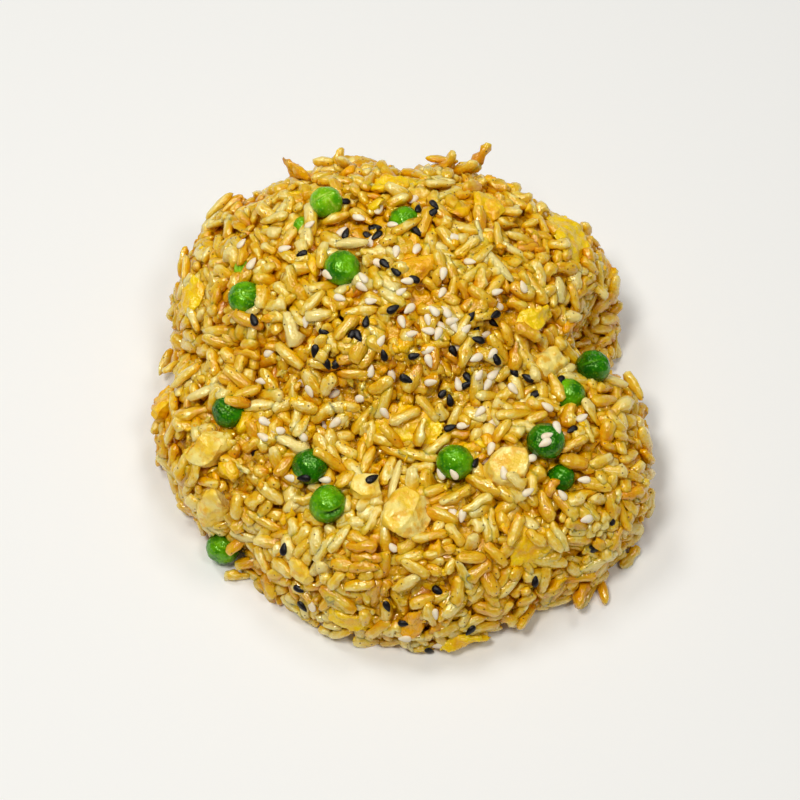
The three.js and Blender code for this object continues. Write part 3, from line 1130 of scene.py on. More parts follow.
@dataclass(frozen=True)
class GrainForm:
    """One form of a cooked grain, one millimetre long and wide before it is scaled.

    Its rings are given from tip to tip as shares of its width, and bend is in degrees along its length.
    """

    rings: tuple[float, ...]
    bend: float = 0.0
    flat: float = 0.74
    uneven: float = 0.4
    sides: int = 8
    lump_pitch: float = 3.4

    def shape(self) -> Shape:
        """Models the grain along Z.

        Returns:
            The grain, half a millimetre long each way.
        """
        deselect()
        bpy.ops.mesh.primitive_uv_sphere_add(segments=self.sides, ring_count=len(self.rings) + 1, radius=0.5,
                                             location=(0, 0, 0))
        piece = bpy.context.object
        bpy.ops.object.mode_set(mode="EDIT")
        mesh = bmesh.from_edit_mesh(piece.data)
        levels = sorted({round(vertex.co.z, 4) for vertex in mesh.verts})[1:-1]
        for level, width in zip(levels, self.rings):
            bpy.ops.mesh.select_all(action="DESELECT")
            mesh = bmesh.from_edit_mesh(piece.data)
            mesh.verts.ensure_lookup_table()
            for vertex in mesh.verts:
                vertex.select_set(abs(vertex.co.z - level) < 1e-3)
            mesh.select_flush_mode()
            radius = math.sqrt(max(0.25 - level * level, 1e-6))
            grow = 0.5 * width / radius
            bpy.ops.transform.resize(value=(grow, grow * self.flat, 1), center_override=(0, 0, level))
        bpy.ops.object.mode_set(mode="OBJECT")
        if self.bend:
            bend = piece.modifiers.new("Bend", "SIMPLE_DEFORM")
            bend.deform_method, bend.deform_axis, bend.angle = "BEND", "X", math.radians(self.bend)
            apply_modifiers(piece)
        points = points_of(piece)
        start = Vector((self.bend, self.flat * 9, 0))
        lumps = [1 + self.uneven * perlin(Vector(point) * self.lump_pitch + start) for point in points]
        points[:, :2] *= np.array(lumps)[:, None]
        move_points(piece, points - (points.max(0) + points.min(0)) / 2)
        return Shape.of(piece)


class GrainForms(Enum):
    """The forms that the loose grains take."""

    PLUMP = GrainForm((0.62, 0.9, 1.02, 1.02, 0.92, 0.64))
    SLIM = GrainForm((0.56, 0.82, 0.9, 0.92, 0.84, 0.58), bend=14)
    CURVED = GrainForm((0.6, 0.88, 0.98, 0.98, 0.88, 0.6), bend=34)
    HOOKED = GrainForm((0.58, 0.86, 0.96, 1.0, 0.9, 0.62), bend=54)
    POINTED = GrainForm((0.66, 0.96, 1.04, 0.92, 0.72, 0.42), bend=-10)
    BLUNT = GrainForm((0.82, 1.0, 1.0, 1.0, 0.88, 0.58))
    WAISTED = GrainForm((0.62, 0.96, 0.94, 0.9, 1.0, 0.7), bend=22)
    FLAT = GrainForm((0.6, 0.94, 1.1, 1.12, 0.94, 0.6), bend=-24, flat=0.58)
    LOPSIDED = GrainForm((0.5, 0.8, 0.96, 1.08, 1.06, 0.76), bend=12, uneven=0.7)
    GNARLED = GrainForm((0.66, 0.88, 1.04, 0.9, 0.98, 0.64), bend=-30, uneven=0.9)
    BURST = GrainForm((0.7, 1.02, 1.24, 1.2, 1.0, 0.66), bend=16, flat=0.56, uneven=1.0)
    SPLIT = GrainForm((0.9, 1.12, 1.06, 0.84, 0.64, 0.4), bend=-16, flat=0.6, uneven=0.8)


@dataclass(frozen=True)
class Sizing:
    """How much things of one kind differ in size, as shares of their usual size."""

    spread: float
    least: float
    most: float

    def draw(self, random: np.random.Generator, count: int) -> np.ndarray:
        """That many shares, drawn round one and held inside the limits."""
        return np.clip(random.normal(1, self.spread, count), self.least, self.most)


@dataclass(frozen=True)
class Laying:
    """How a grain that stands out is laid: it is felt for at three places along it.

    Places and slopes are shares of its length, and the rest is in millimetres.
    """

    places: Triple = (-0.36, 0.0, 0.36)
    steepest: float = 0.1
    sunk: float = 0.1
    on_topping: float = 0.9
    growth: float = 1.12
    foreshortened: float = 0.6
    longest: float = 10.0


@dataclass(frozen=True)
class Settling:
    """How the grains are pushed about in every step, mostly as shares of how far they are out of place."""

    steps: int = 70
    listed_anew: int = 5
    near: float = 1.0
    softness: float = 0.6
    apart: float = 0.42
    sinking: float = 0.5
    rising: float = 0.3
    depth: float = 0.4
    off_table: float = 0.6
    over_table: float = 0.1
    off_toppings: float = 0.55
    stride: float = 1.4
    shortest_half: float = 0.6


@dataclass
class Grains:
    """The loose grains. They are drawn in a shell round the core, then pushed apart until they lie close.

    Those that stand out are given by their column and row in the view, their heading and their length in
    its pixels, and the boldest also by their width and their tint. Other sizes are in millimetres.
    """

    shown: tuple[tuple[float, float, float, float], ...]
    bold: tuple[tuple[float, float, float, float, float, float], ...]
    laying: Laying = Laying()
    settling: Settling = Settling()
    count: int = 2050
    tries: int = 4000
    length: float = 7.3
    lengths_differ: Sizing = Sizing(0.13, 0.62, 1.25)
    short_share: float = 0.2
    short: Span = (0.5, 0.75)
    width: float = 3.2
    widths_differ: Sizing = Sizing(0.1, 0.78, 1.25)
    tilt: float = 0.26
    roll: float = 0.15
    lowest: float = -2.0
    highest: float = 0.8
    loose: Span = (-0.4, 0.8)
    swell: float = 1.1
    swell_pitch: float = 7.0
    crowding: float = 1.8
    crowded_at: float = 1.2
    crowded_round: float = 0.4
    open_sky: float = 9.0
    shown_freedom: float = 0.3
    swallowed: float = 0.6
    beads: tuple[float, ...] = (-1.0, 0.0, 1.0)
    whole_from: float = 0.86
    tint: float = 0.07
    tint_spread: float = 0.08
    tint_drift: float = 0.24
    tint_pitch: float = 0.07
    # Painted shade: how much a grain's tint grows for each millimetre that it lies under the core's surface.
    stain_and_depth_shade: float = 0.12
    # Painted shade: how much a grain's tint grows from its top to its sides.
    side_shade: float = 0.32
    spots: np.ndarray = field(init=False)
    axes: np.ndarray = field(init=False)
    lengths: np.ndarray = field(init=False)
    widths: np.ndarray = field(init=False)
    freedom: np.ndarray = field(init=False)
    ceilings: np.ndarray = field(init=False)

    def lay(self, ground: BVHTree, column: float, row: float, heading: float,
            length: float) -> tuple[np.ndarray, np.ndarray, float]:
        """Lays one grain across what lies under its two ends and its middle.

        Args:
            ground: The toppings, which some of the grains lie on.
            column: The column of the grain's middle in the view.
            row: Its row.
            heading: Degrees from the right, anticlockwise.
            length: How long it shows, in the view's pixels.

        Returns:
            Its middle, its direction and its length in millimetres.
        """
        turn, reaches, laying = math.radians(heading), [], self.laying
        for share in laying.places:
            across, down = column + share * length * math.cos(turn), row - share * length * math.sin(turn)
            eye, ray = SIGHT.ray(across, down)
            reach = np.linalg.norm(SIGHT.onto(across, down, self.highest - laying.sunk) - eye)
            hit, _, _, _ = ground.ray_cast(Vector(eye * MM), Vector(ray))
            if hit is not None:
                reach = min(reach, np.linalg.norm(np.array(hit) / MM - eye) - laying.on_topping)
            reaches.append((reach, ray))
        (near, first), (middle, line), (far, last) = reaches
        limit = laying.steepest * length * SIGHT.pixel
        steep = np.clip((far - near) / 2, -limit, limit)
        middle = min(middle, (near + far) / 2)
        axis = unit(last * (middle + steep) - first * (middle - steep))
        seen = np.linalg.norm(axis - line * (axis @ line))
        real = length * laying.growth * SIGHT.pixel / max(seen, laying.foreshortened)
        return eye + line * middle, axis, min(real, laying.longest)

    def place_shown(self, ground: BVHTree) -> tuple[np.ndarray, np.ndarray, np.ndarray]:
        """Lays the grains that stand out, and the stray ones.

        Args:
            ground: The toppings, which some of the grains lie on.

        Returns:
            Their middles, their directions and their lengths.
        """
        middles, axes, lengths = [], [], []
        for grain in (*self.bold, *self.shown):
            middle, along, length = self.lay(ground, *grain[:4])
            middles.append(middle)
            axes.append(along)
            lengths.append(length)
        for stray in STRAYS:
            middle, along = stray.place()
            middles.append(middle)
            axes.append(along)
            lengths.append(stray.length)
        return np.array(middles), np.array(axes), np.array(lengths)

    def draw(self, toppings: "Toppings", ground: BVHTree) -> None:
        """Draws where the grains start, and how long and wide they are.

        Args:
            toppings: What the loose grains keep out of.
            ground: The toppings' meshes, which some of the shown grains lie on.
        """
        random = seeded("loose grains")
        low, high = np.array(CAD_BOX[0]) / MM, np.array(CAD_BOX[1]) / MM
        spots = np.zeros((0, 3))
        while len(spots) < self.count:
            tried = random.uniform(low, high, (self.tries, 3))
            over = HEAP.over(tried)
            tried = tried[(over > self.lowest) & (over < self.highest) & (tried[:, 2] > SIGHT.lowest)]
            spots = np.concatenate([spots, tried[toppings.nearness(tried) > 1.0]])
        spots = spots[:self.count]
        facing = HEAP.facing(spots)
        loose = unit(random.normal(size=(self.count, 3)))
        flat = loose - facing * (loose * facing).sum(1, keepdims=True)
        axes = unit(unit(flat) + facing * random.normal(0, self.tilt, (self.count, 1)))
        lengths = self.length * self.lengths_differ.draw(random, self.count)
        short = random.random(self.count) < self.short_share
        lengths[short] *= random.uniform(*self.short, short.sum())
        middles, shown_axes, shown_lengths = self.place_shown(ground)
        fixed = len(middles)
        self.spots = np.concatenate([middles, spots])
        self.axes = np.concatenate([shown_axes, axes])
        self.lengths = np.concatenate([shown_lengths, lengths])
        self.widths = self.width * self.widths_differ.draw(random, len(self.spots))
        self.widths[:len(self.bold)] = [grain[4] * SIGHT.pixel for grain in self.bold]
        self.freedom = np.ones(len(self.spots))
        self.freedom[:fixed] = self.shown_freedom
        self.freedom[:len(self.bold)] = 0.0
        self.freedom[fixed - len(STRAYS):fixed] = 0.0
        swell = [self.swell * 2 * perlin(Vector(spot / self.swell_pitch)) for spot in self.spots]
        nearness = toppings.nearness(self.spots)
        self.ceilings = self.highest + np.array(swell) + random.uniform(*self.loose, len(self.spots))
        self.ceilings += self.crowding * np.exp(-((nearness - self.crowded_at) / self.crowded_round) ** 2)
        self.ceilings[:fixed] = self.open_sky

    def pairs(self, beads: np.ndarray, reach: float) -> tuple[np.ndarray, np.ndarray]:
        """Finds the beads of different grains that are near each other.

        Args:
            beads: The beads' places.
            reach: How near is near.

        Returns:
            The numbers of the first and of the second bead of each pair.
        """
        order = np.argsort(beads[:, 0], kind="stable")
        line = beads[order]
        firsts, seconds = [], []
        for hop in range(1, len(beads)):
            near = line[hop:, 0] - line[:-hop, 0] < reach
            if not near.any():
                break
            first, second = np.nonzero(near)[0], np.nonzero(near)[0] + hop
            close = ((line[first] - line[second]) ** 2).sum(1) < reach * reach
            first, second = order[first[close]], order[second[close]]
            other = first // len(self.beads) != second // len(self.beads)
            firsts.append(first[other])
            seconds.append(second[other])
        return np.concatenate(firsts), np.concatenate(seconds)

    def settle(self, toppings: "Toppings") -> None:
        """Pushes the grains apart, off the toppings and the table, and back to the heap.

        Args:
            toppings: What the loose grains are pushed off.
        """
        settling, along = self.settling, np.array(self.beads)
        radius = np.repeat(self.widths * 0.5 * settling.softness, len(along))
        ceilings = np.repeat(self.ceilings, len(along))
        free = np.repeat(self.freedom == 1, len(along))[:, None]
        for step in range(settling.steps):
            half = (self.lengths - self.widths) / 2
            reach = (half[:, None] * along)[..., None]
            beads = (self.spots[:, None] + self.axes[:, None] * reach).reshape(-1, 3)
            if step % settling.listed_anew == 0:
                first, second = self.pairs(beads, self.width + settling.near)
            gap = beads[first] - beads[second]
            apart = np.linalg.norm(gap, axis=1)
            depth = np.maximum(radius[first] + radius[second] - apart, 0)
            shove = gap / np.maximum(apart, 1e-6)[:, None] * (depth * settling.apart)[:, None]
            push = np.stack([np.bincount(first, part, len(beads)) - np.bincount(second, part, len(beads))
                             for part in shove.T], 1)
            over, facing = HEAP.over(beads), HEAP.facing(beads)
            push -= facing * (np.maximum(over - ceilings, 0) * settling.sinking)[:, None]
            push += facing * (np.maximum(self.lowest - settling.depth - over, 0) * settling.rising)[:, None]
            push[:, 2] += np.maximum(radius + settling.over_table - beads[:, 2], 0) * settling.off_table
            push += toppings.shove(beads, radius * settling.off_toppings) * free
            push = push.reshape(len(self.spots), len(along), 3)
            push *= self.freedom[:, None, None]
            self.spots = self.spots + push.mean(1) * settling.stride
            lever = np.maximum(half, settling.shortest_half)[:, None] * (along ** 2).sum()
            self.axes = unit(self.axes + (push * along[:, None]).sum(1) / lever)
        deep = depth[depth > 0]
        LOG.info("grains still overlap by %.2f mm on average, in %d pairs", deep.mean(), len(deep))

    def build(self, toppings: "Toppings", ground: BVHTree) -> None:
        """Models the grains, packs them and joins them, the whole ones and the broken ones.

        Args:
            toppings: What the loose grains keep out of.
            ground: The toppings' meshes, which some of the shown grains lie on.
        """
        self.draw(toppings, ground)
        self.settle(toppings)
        shapes = [form.value.shape() for form in GrainForms]
        random = seeded("grain looks")
        scatters = {True: Scatter("rice_grains_whole"), False: Scatter("rice_grains_broken")}
        facing = HEAP.facing(self.spots)
        for number, spot in enumerate(self.spots):
            roll = random.uniform(0, 2 * math.pi)
            pick = shapes[random.integers(len(shapes))]
            drift = perlin(Vector(spot * self.tint_pitch))
            tint = self.tint + self.tint_spread * random.normal() + self.tint_drift * drift
            if number < len(self.bold):
                tint = self.bold[number][5]
            if self.freedom[number] == 1 and toppings.nearness(spot[None])[0] < self.swallowed:
                continue
            axis = self.axes[number]
            side = unit(np.cross(axis, facing[number] + 0.01))
            out = np.cross(side, axis)
            wide = side * math.cos(roll * self.roll) + out * math.sin(roll * self.roll)
            thin = np.cross(axis, wide)
            flip = 1 if random.random() < 0.5 else -1
            turn = np.stack([wide * flip * self.widths[number], thin * self.widths[number] * flip,
                             axis * self.lengths[number]], 1)
            if np.linalg.det(turn) < 0:
                turn[:, 1] *= -1
            whole = self.lengths[number] > self.whole_from * self.length
            # Painted shade: grains deeper under the core's surface are tinted more golden and brown, and their
            # sides darker than their tops.
            tint += self.stain_and_depth_shade * max(-HEAP.over(spot[None])[0], 0)
            scatters[whole].add(pick, turn, spot, tint, facing[number], self.side_shade)
        material = RICE.material("cooked_rice")
        for scatter in scatters.values():
            piece = scatter.piece()
            hold(piece)
            dress(piece, material, "rice")


# ---- Toppings -------------------------------------------------------------------------------------------


@dataclass
class Toppings:
    """The peas, chicken and egg in the heap, as rounded boxes that the rice keeps out of."""

    fits: tuple[tuple[str, float], ...] = (("pea_", 0.86), ("chicken_", 0.8), ("egg_", 0.6))
    farthest: float = 2.5
    firmness: float = 0.4
    middles: np.ndarray = field(init=False)
    frames: np.ndarray = field(init=False)

    def __post_init__(self) -> None:
        """Measures every topping in its own directions."""
        fits = dict(self.fits)
        middles, frames = [], []
        for name in sorted(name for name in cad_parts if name.startswith(tuple(fits))):
            points = np.unique(np.round(points_of(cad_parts[name]) / MM, 4), axis=0)
            middle = (points.max(0) + points.min(0)) / 2
            _, _, axes = np.linalg.svd(points - points.mean(0), full_matrices=False)
            spans = (points - middle) @ axes.T
            middle = middle + ((spans.max(0) + spans.min(0)) / 2) @ axes
            halves = (spans.max(0) - spans.min(0)) / 2 * fits[name.split("_")[0] + "_"]
            middles.append(middle)
            frames.append(axes / halves[:, None])
        self.middles, self.frames = np.array(middles), np.array(frames)

    def shares(self, points: np.ndarray) -> np.ndarray:
        """Measures how far points are from the toppings.

        Args:
            points: One row for each point.

        Returns:
            A row for each point with its distance from each topping's middle, one on its rounded outline.
        """
        away = points[:, None] - self.middles
        local = np.einsum("tij,ptj->pti", self.frames, away)
        return np.linalg.norm(local, axis=-1)

    def nearness(self, points: np.ndarray) -> np.ndarray:
        """Each point's share at its nearest topping."""
        return self.shares(points).min(1)

    def shove(self, beads: np.ndarray, radius: np.ndarray) -> np.ndarray:
        """Works out how beads that are in a topping move to clear it, along the heap's surface and inwards.

        Args:
            beads: One row for each bead.
            radius: Each bead's radius.

        Returns:
            Each bead's move.
        """
        push = np.zeros_like(beads)
        facing = HEAP.facing(beads)
        for middle, axes in zip(self.middles, self.frames):
            away = beads - middle
            local = away @ axes.T
            share = np.linalg.norm(local, axis=1)
            reach = np.linalg.norm(away, axis=1)
            depth = np.maximum(reach / np.maximum(share, 1e-3) + radius - reach, 0) * (share < self.farthest)
            flat = away - facing * np.maximum((away * facing).sum(1), 0)[:, None]
            push += unit(flat) * (depth * self.firmness)[:, None]
        return push


@dataclass(frozen=True)
class Mark:
    """A fold or split in a pea's skin.

    Its middle is given as shares of the pea's half width, to the right and up as the view shows it, its
    heading and reach in degrees, its depth as a share of the pea's half width, and how dark the painted shade
    inside it is.
    """

    across: float
    up: float
    heading: float
    reach: float
    depth: float
    # How dark the painted shade inside the mark is.
    dark: float = 0.0
    width: float = 0.07
    curl: float = 0.08
    lip_at: float = 1.7
    lip_width: float = 0.05

    def measure(self, points: np.ndarray) -> tuple[np.ndarray, np.ndarray]:
        """Works out the mark on a ball.

        Args:
            points: Places on a ball with radius one.

        Returns:
            How deep the mark is at each place, and how much of its raised lip is there.
        """
        _, right, up, back = SIGHT.axes()
        near = math.sqrt(1 - self.across ** 2 - self.up ** 2)
        towards = unit(right * self.across + up * self.up + back * near)
        angle = math.radians(self.heading)
        along = unit(np.cross(np.cross(towards, right * math.cos(angle) + up * math.sin(angle)), towards))
        side = np.cross(towards, along)
        run = np.degrees(np.arctan2(points @ along, points @ towards)) / (self.reach / 2)
        fade = np.clip(1 - run ** 2, 0, 1) * (points @ towards > 0)
        off = points @ side - self.curl * run ** 2
        lip = (off - self.lip_at * self.width) / self.lip_width
        return fade * np.exp(-(off / self.width) ** 2), fade * np.exp(-lip ** 2)


@dataclass
class Peas:
    """Peas, each with its own dimples, wrinkles and splits. Sizes are shares of a pea's half width."""

    tones: dict[str, PeaTone] = field(default_factory=lambda: {
        "pea_back": PeaTone.PALE, "pea_back_split": PeaTone.PALE, "pea_left_sunk": PeaTone.PALE,
        "pea_shaded": PeaTone.DEEP, "pea_pair_upper": PeaTone.DEEP, "pea_seeded": PeaTone.DEEP,
        "pea_under_seeded": PeaTone.DEEP, "pea_notch": PeaTone.DEEP,
    })
    marks: dict[str, tuple[Mark, ...]] = field(default_factory=lambda: {
        "pea_pair_lower": (Mark(0.33, -0.42, 10, 80, 0.3, 1.0, 0.13), Mark(-0.5, -0.4, 60, 60, 0.05)),
        "pea_shaded": (Mark(-0.15, 0.1, -35, 110, 0.12, 0.5), Mark(0.3, 0.3, 60, 70, 0.1, 0.5)),
        "pea_edge": (Mark(-0.1, 0.0, -25, 120, 0.1, 0.2),),
        "pea_back": (Mark(-0.25, 0.2, 30, 100, 0.09), Mark(0.3, -0.2, -50, 80, 0.08)),
        "pea_left": (Mark(0.0, 0.25, 10, 130, 0.09, 0.2), Mark(0.25, -0.2, -30, 90, 0.07)),
        "pea_notch": (Mark(-0.1, 0.2, 20, 110, 0.08, 0.3),),
    })
    segments: int = 60
    rings: int = 36
    size: float = 0.985
    dimples: int = 3
    dimple_depths: Span = (0.02, 0.06)
    dimple_width: float = 0.12
    dimples_face: Triple = (0, -0.2, 0.6)
    lip_height: float = 0.2
    lip_light: float = 0.7
    split_from: float = 0.5
    split_keenness: float = 1.6
    lumps: float = 0.06
    lump_pitch: float = 2.3
    wrinkles: float = 0.035
    wrinkle_pitch: float = 4.5
    wrinkle_keenness: float = 5.0
    patterns_apart: float = 5.0
    shade: float = 0.7
    shade_from: float = 0.5
    shade_growth: float = 1.2

    def skin(self, node: str, points: np.ndarray) -> tuple[np.ndarray, np.ndarray, np.ndarray]:
        """Works out the relief of one pea's skin.

        Args:
            node: The pea's node.
            points: Places on a ball with radius one.

        Returns:
            For each place its share of the pea's half width, how much it is a fold, and how dark painted shade
            makes it inside a split.
        """
        random = seeded(node)
        size, fold, split = np.full(len(points), self.size), np.zeros(len(points)), np.zeros(len(points))
        for _ in range(self.dimples):
            near = points @ unit(random.normal(size=3) + np.array(self.dimples_face))
            size -= random.uniform(*self.dimple_depths) * np.exp(-((1 - near) / self.dimple_width) ** 2)
        for mark in self.marks.get(node, ()):
            deep, lip = mark.measure(points)
            size += mark.depth * (self.lip_height * lip - deep)
            fold = np.maximum(fold, lip * self.lip_light)
            inside = np.clip(deep * self.split_keenness - self.split_from, 0, 1)
            split = np.maximum(split, inside * mark.dark)
        shift = Vector(random.normal(size=3) * self.patterns_apart)
        for number, point in enumerate(points):
            ripple = perlin(Vector(point * self.lump_pitch) + shift)
            line = abs(perlin(Vector(point * self.wrinkle_pitch) + shift)) * self.wrinkle_keenness
            size[number] += self.lumps * ripple - self.wrinkles * (1 - min(line, 1))
        return np.minimum(size, 1.0), fold, split

    def model(self, node: str) -> bpy.types.Object:
        """Models one pea.

        Args:
            node: The node that the pea stands for.

        Returns:
            The pea, where its node is.
        """
        low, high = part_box(node)
        middle, half = (low + high) / 2, (high - low) / 2
        deselect()
        bpy.ops.mesh.primitive_uv_sphere_add(segments=self.segments, ring_count=self.rings, radius=1.0,
                                             location=(0, 0, 0))
        piece = bpy.context.object
        piece.name = piece.data.name = f"{node}_skin"
        points = unit(points_of(piece))
        size, fold, split = self.skin(node, points)
        out = HEAP.facing(np.array(middle)[None] / MM)[0]
        # Painted shade: the side of the pea that faces into the heap is darkened with the split colour.
        under = np.clip(self.shade_from - points @ out * self.shade_growth, 0, 1)
        split = np.maximum(split, self.shade * under)
        move_points(piece, points * size[:, None] * np.array(half) + np.array(middle))
        shade_smooth(piece)
        set_attribute(piece, "fold", np.clip(fold, 0, 1))
        set_attribute(piece, "split", np.clip(split, 0, 1))
        return piece

    def build(self) -> None:
        """Models and dresses every pea."""
        materials = {tone: tone.value.material(f"pea_{tone.name.lower()}") for tone in PeaTone}
        for node in sorted(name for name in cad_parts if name.startswith("pea_")):
            piece = self.model(node)
            dress(piece, materials[self.tones.get(node, PeaTone.FRESH)], "pea", node)


@dataclass
class Chunks:
    """Chunks that keep their node's form, with finer relief. Sizes are in millimetres."""

    prefix: str
    slot: str
    suffix: str
    lumps: tuple[tuple[float, float], ...]
    smoothing: int
    tint: float
    tints: dict[str, float] = field(default_factory=dict)
    tints_differ: Span = (-0.1, 0.1)
    voxel: float = 0.42
    softness: float = 0.5
    lump_level: float = 0.6
    cuts: int = 0
    cut_levels: Span = (0.62, 0.85)
    keenness: float = 0.96

    def model(self, node: str) -> bpy.types.Object:
        """Models one chunk from a copy of its node.

        Args:
            node: The node that the chunk stands for.

        Returns:
            The chunk, where its node is.
        """
        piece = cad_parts[node].copy()
        piece.data = piece.data.copy()
        piece.parent = None
        for key in list(piece.keys()):
            del piece[key]
        piece.name = piece.data.name = f"{node}_{self.suffix}"
        bpy.context.scene.collection.objects.link(piece)
        tidy_mesh(piece)
        remesh = piece.modifiers.new("Even", "REMESH")
        remesh.mode, remesh.voxel_size = "VOXEL", self.voxel * MM
        apply_modifiers(piece)
        self.cut(piece)
        smooth = piece.modifiers.new("Soften", "SMOOTH")
        smooth.factor, smooth.iterations = self.softness, self.smoothing
        for pitch, height in self.lumps:
            displace(piece, "CLOUDS", pitch * MM, height * MM, self.lump_level)
        apply_modifiers(piece)
        shade_smooth(piece)
        tint = self.tints.get(node, self.tint) + seeded(node).uniform(*self.tints_differ)
        set_attribute(piece, "tint", np.full(len(piece.data.vertices), tint))
        return piece

    def cut(self, piece: bpy.types.Object) -> None:
        """Slices flat faces off a chunk, as a knife does.

        Args:
            piece: The chunk.
        """
        random = seeded(piece.name + "_cuts")
        points = points_of(piece)
        middle = points.mean(0)
        for _ in range(self.cuts):
            facing = unit(random.normal(size=3))
            heights = (points - middle) @ facing
            level = heights.max() * random.uniform(*self.cut_levels)
            points = points - facing * np.maximum(heights - level, 0)[:, None] * self.keenness
        move_points(piece, points)

    def build(self, material: bpy.types.Material) -> None:
        """Models and dresses every chunk in one material."""
        for node in sorted(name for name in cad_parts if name.startswith(self.prefix)):
            dress(self.model(node), material, self.slot, node)


@dataclass
class Crumbs:
    """Small torn bits that lie in the gaps between the grains, and here and there on them.

    Some are given by their column and row in the view, their size and their tint. Sizes are in millimetres,
    and how long, wide and thick a bit is differs by shares of its size. Lumps and the bow are a pattern's
    scale and height.
    """

    name: str
    slot: str
    count: int
    sizes: Span
    flat: float
    deepest: float
    highest: float
    tints: Span
    patchy: bool = False
    patch_pitch: float = 9.0
    patch_start: float = 40.0
    patch_levels: Span = (-0.4, 0.5)
    spots: tuple[tuple[float, float, float, float], ...] = ()
    forms: int = 6
    forms_apart: float = 3.7
    lumps: tuple[Span, ...] = ((2.8, 0.8), (6.5, 0.4))
    bow: Span = (2.0, 0.35)
    stretch: Triple = (1, 1, 0.8)
    lowest_rise: float = -0.05
    drop: float = 12.0
    tumble: float = 0.35
    long: Span = (0.8, 1.3)
    wide: Span = (0.6, 1.0)
    thick: Span = (0.7, 1.3)
    sunk: float = 0.1
    # Painted shade: how much a bit's tint grows from its top to its sides.
    side_shade: float = 0.15

    def shapes(self) -> list[Shape]:
        """Models the forms that the bits take.

        Returns:
            The forms, one millimetre across.
        """
        made = []
        for number in range(self.forms):
            deselect()
            bpy.ops.mesh.primitive_ico_sphere_add(subdivisions=2, radius=0.5, location=(0, 0, 0))
            piece = bpy.context.object
            piece.name = f"{self.name}_{number}"
            points = points_of(piece)
            shift = Vector((number * self.forms_apart, 1.3, 0.4))
            sizes = [sum((height * perlin(Vector(point) * pitch + shift) for pitch, height in self.lumps), 1)
                     for point in points]
            points = points * np.array(sizes)[:, None]
            pitch, height = self.bow
            points[:, 2] += height * np.array([perlin(Vector(point) * pitch - shift) for point in points])
            move_points(piece, points)
            made.append(Shape.of(piece))
        return made

    def draw(self, random: np.random.Generator) -> list[tuple[np.ndarray, np.ndarray, float, float]]:
        """Draws where the bits fall, after those that are given.

        Args:
            random: What the draws come from.

        Returns:
            For each bit the place that it falls from, the way that it falls, its size and its tint.
        """
        falls = [(*SIGHT.ray(column, row), size, tint) for column, row, size, tint in self.spots]
        while len(falls) < self.count + len(self.spots):
            towards = unit(random.normal(size=3) * self.stretch)
            if towards[2] < self.lowest_rise:
                continue
            surface = HEAP.surface(towards[None])
            facing = HEAP.facing(surface)[0]
            patch = perlin(Vector(surface[0] / self.patch_pitch + self.patch_start))
            if self.patchy and patch < random.uniform(*self.patch_levels):
                continue
            size = random.uniform(0, 1) ** 2 * (self.sizes[1] - self.sizes[0]) + self.sizes[0]
            falls.append((surface[0] + facing * self.drop, -facing, size, random.uniform(*self.tints)))
        return falls

    def build(self, ground: BVHTree, material: bpy.types.Material) -> None:
        """Lays the bits and joins them into one piece.

        Args:
            ground: What they lie on.
            material: Their finish.
        """
        random = seeded(self.name)
        shapes = self.shapes()
        scatter = Scatter(self.name)
        for start, ray, size, tint in self.draw(random):
            hit, _, _, _ = ground.ray_cast(Vector(start * MM), Vector(ray))
            if hit is None:
                continue
            place = np.array(hit) / MM
            over = HEAP.over(place[None])[0]
            if not self.deepest < over < self.highest or place[2] < SIGHT.lowest:
                continue
            out = unit(HEAP.facing(place[None])[0] + random.normal(0, self.tumble, 3))
            side = unit(np.cross(out, random.normal(size=3)))
            turn = np.stack([side * size * random.uniform(*self.long),
                             np.cross(out, side) * size * random.uniform(*self.wide),
                             out * size * self.flat * random.uniform(*self.thick)], 1)
            shape = shapes[random.integers(len(shapes))]
            scatter.add(shape, turn, place - out * size * self.flat * self.sunk, tint, out, self.side_shade)
        piece = scatter.piece()
        hold(piece)
        dress(piece, material, self.slot)


# ---- Sesame ---------------------------------------------------------------------------------------------


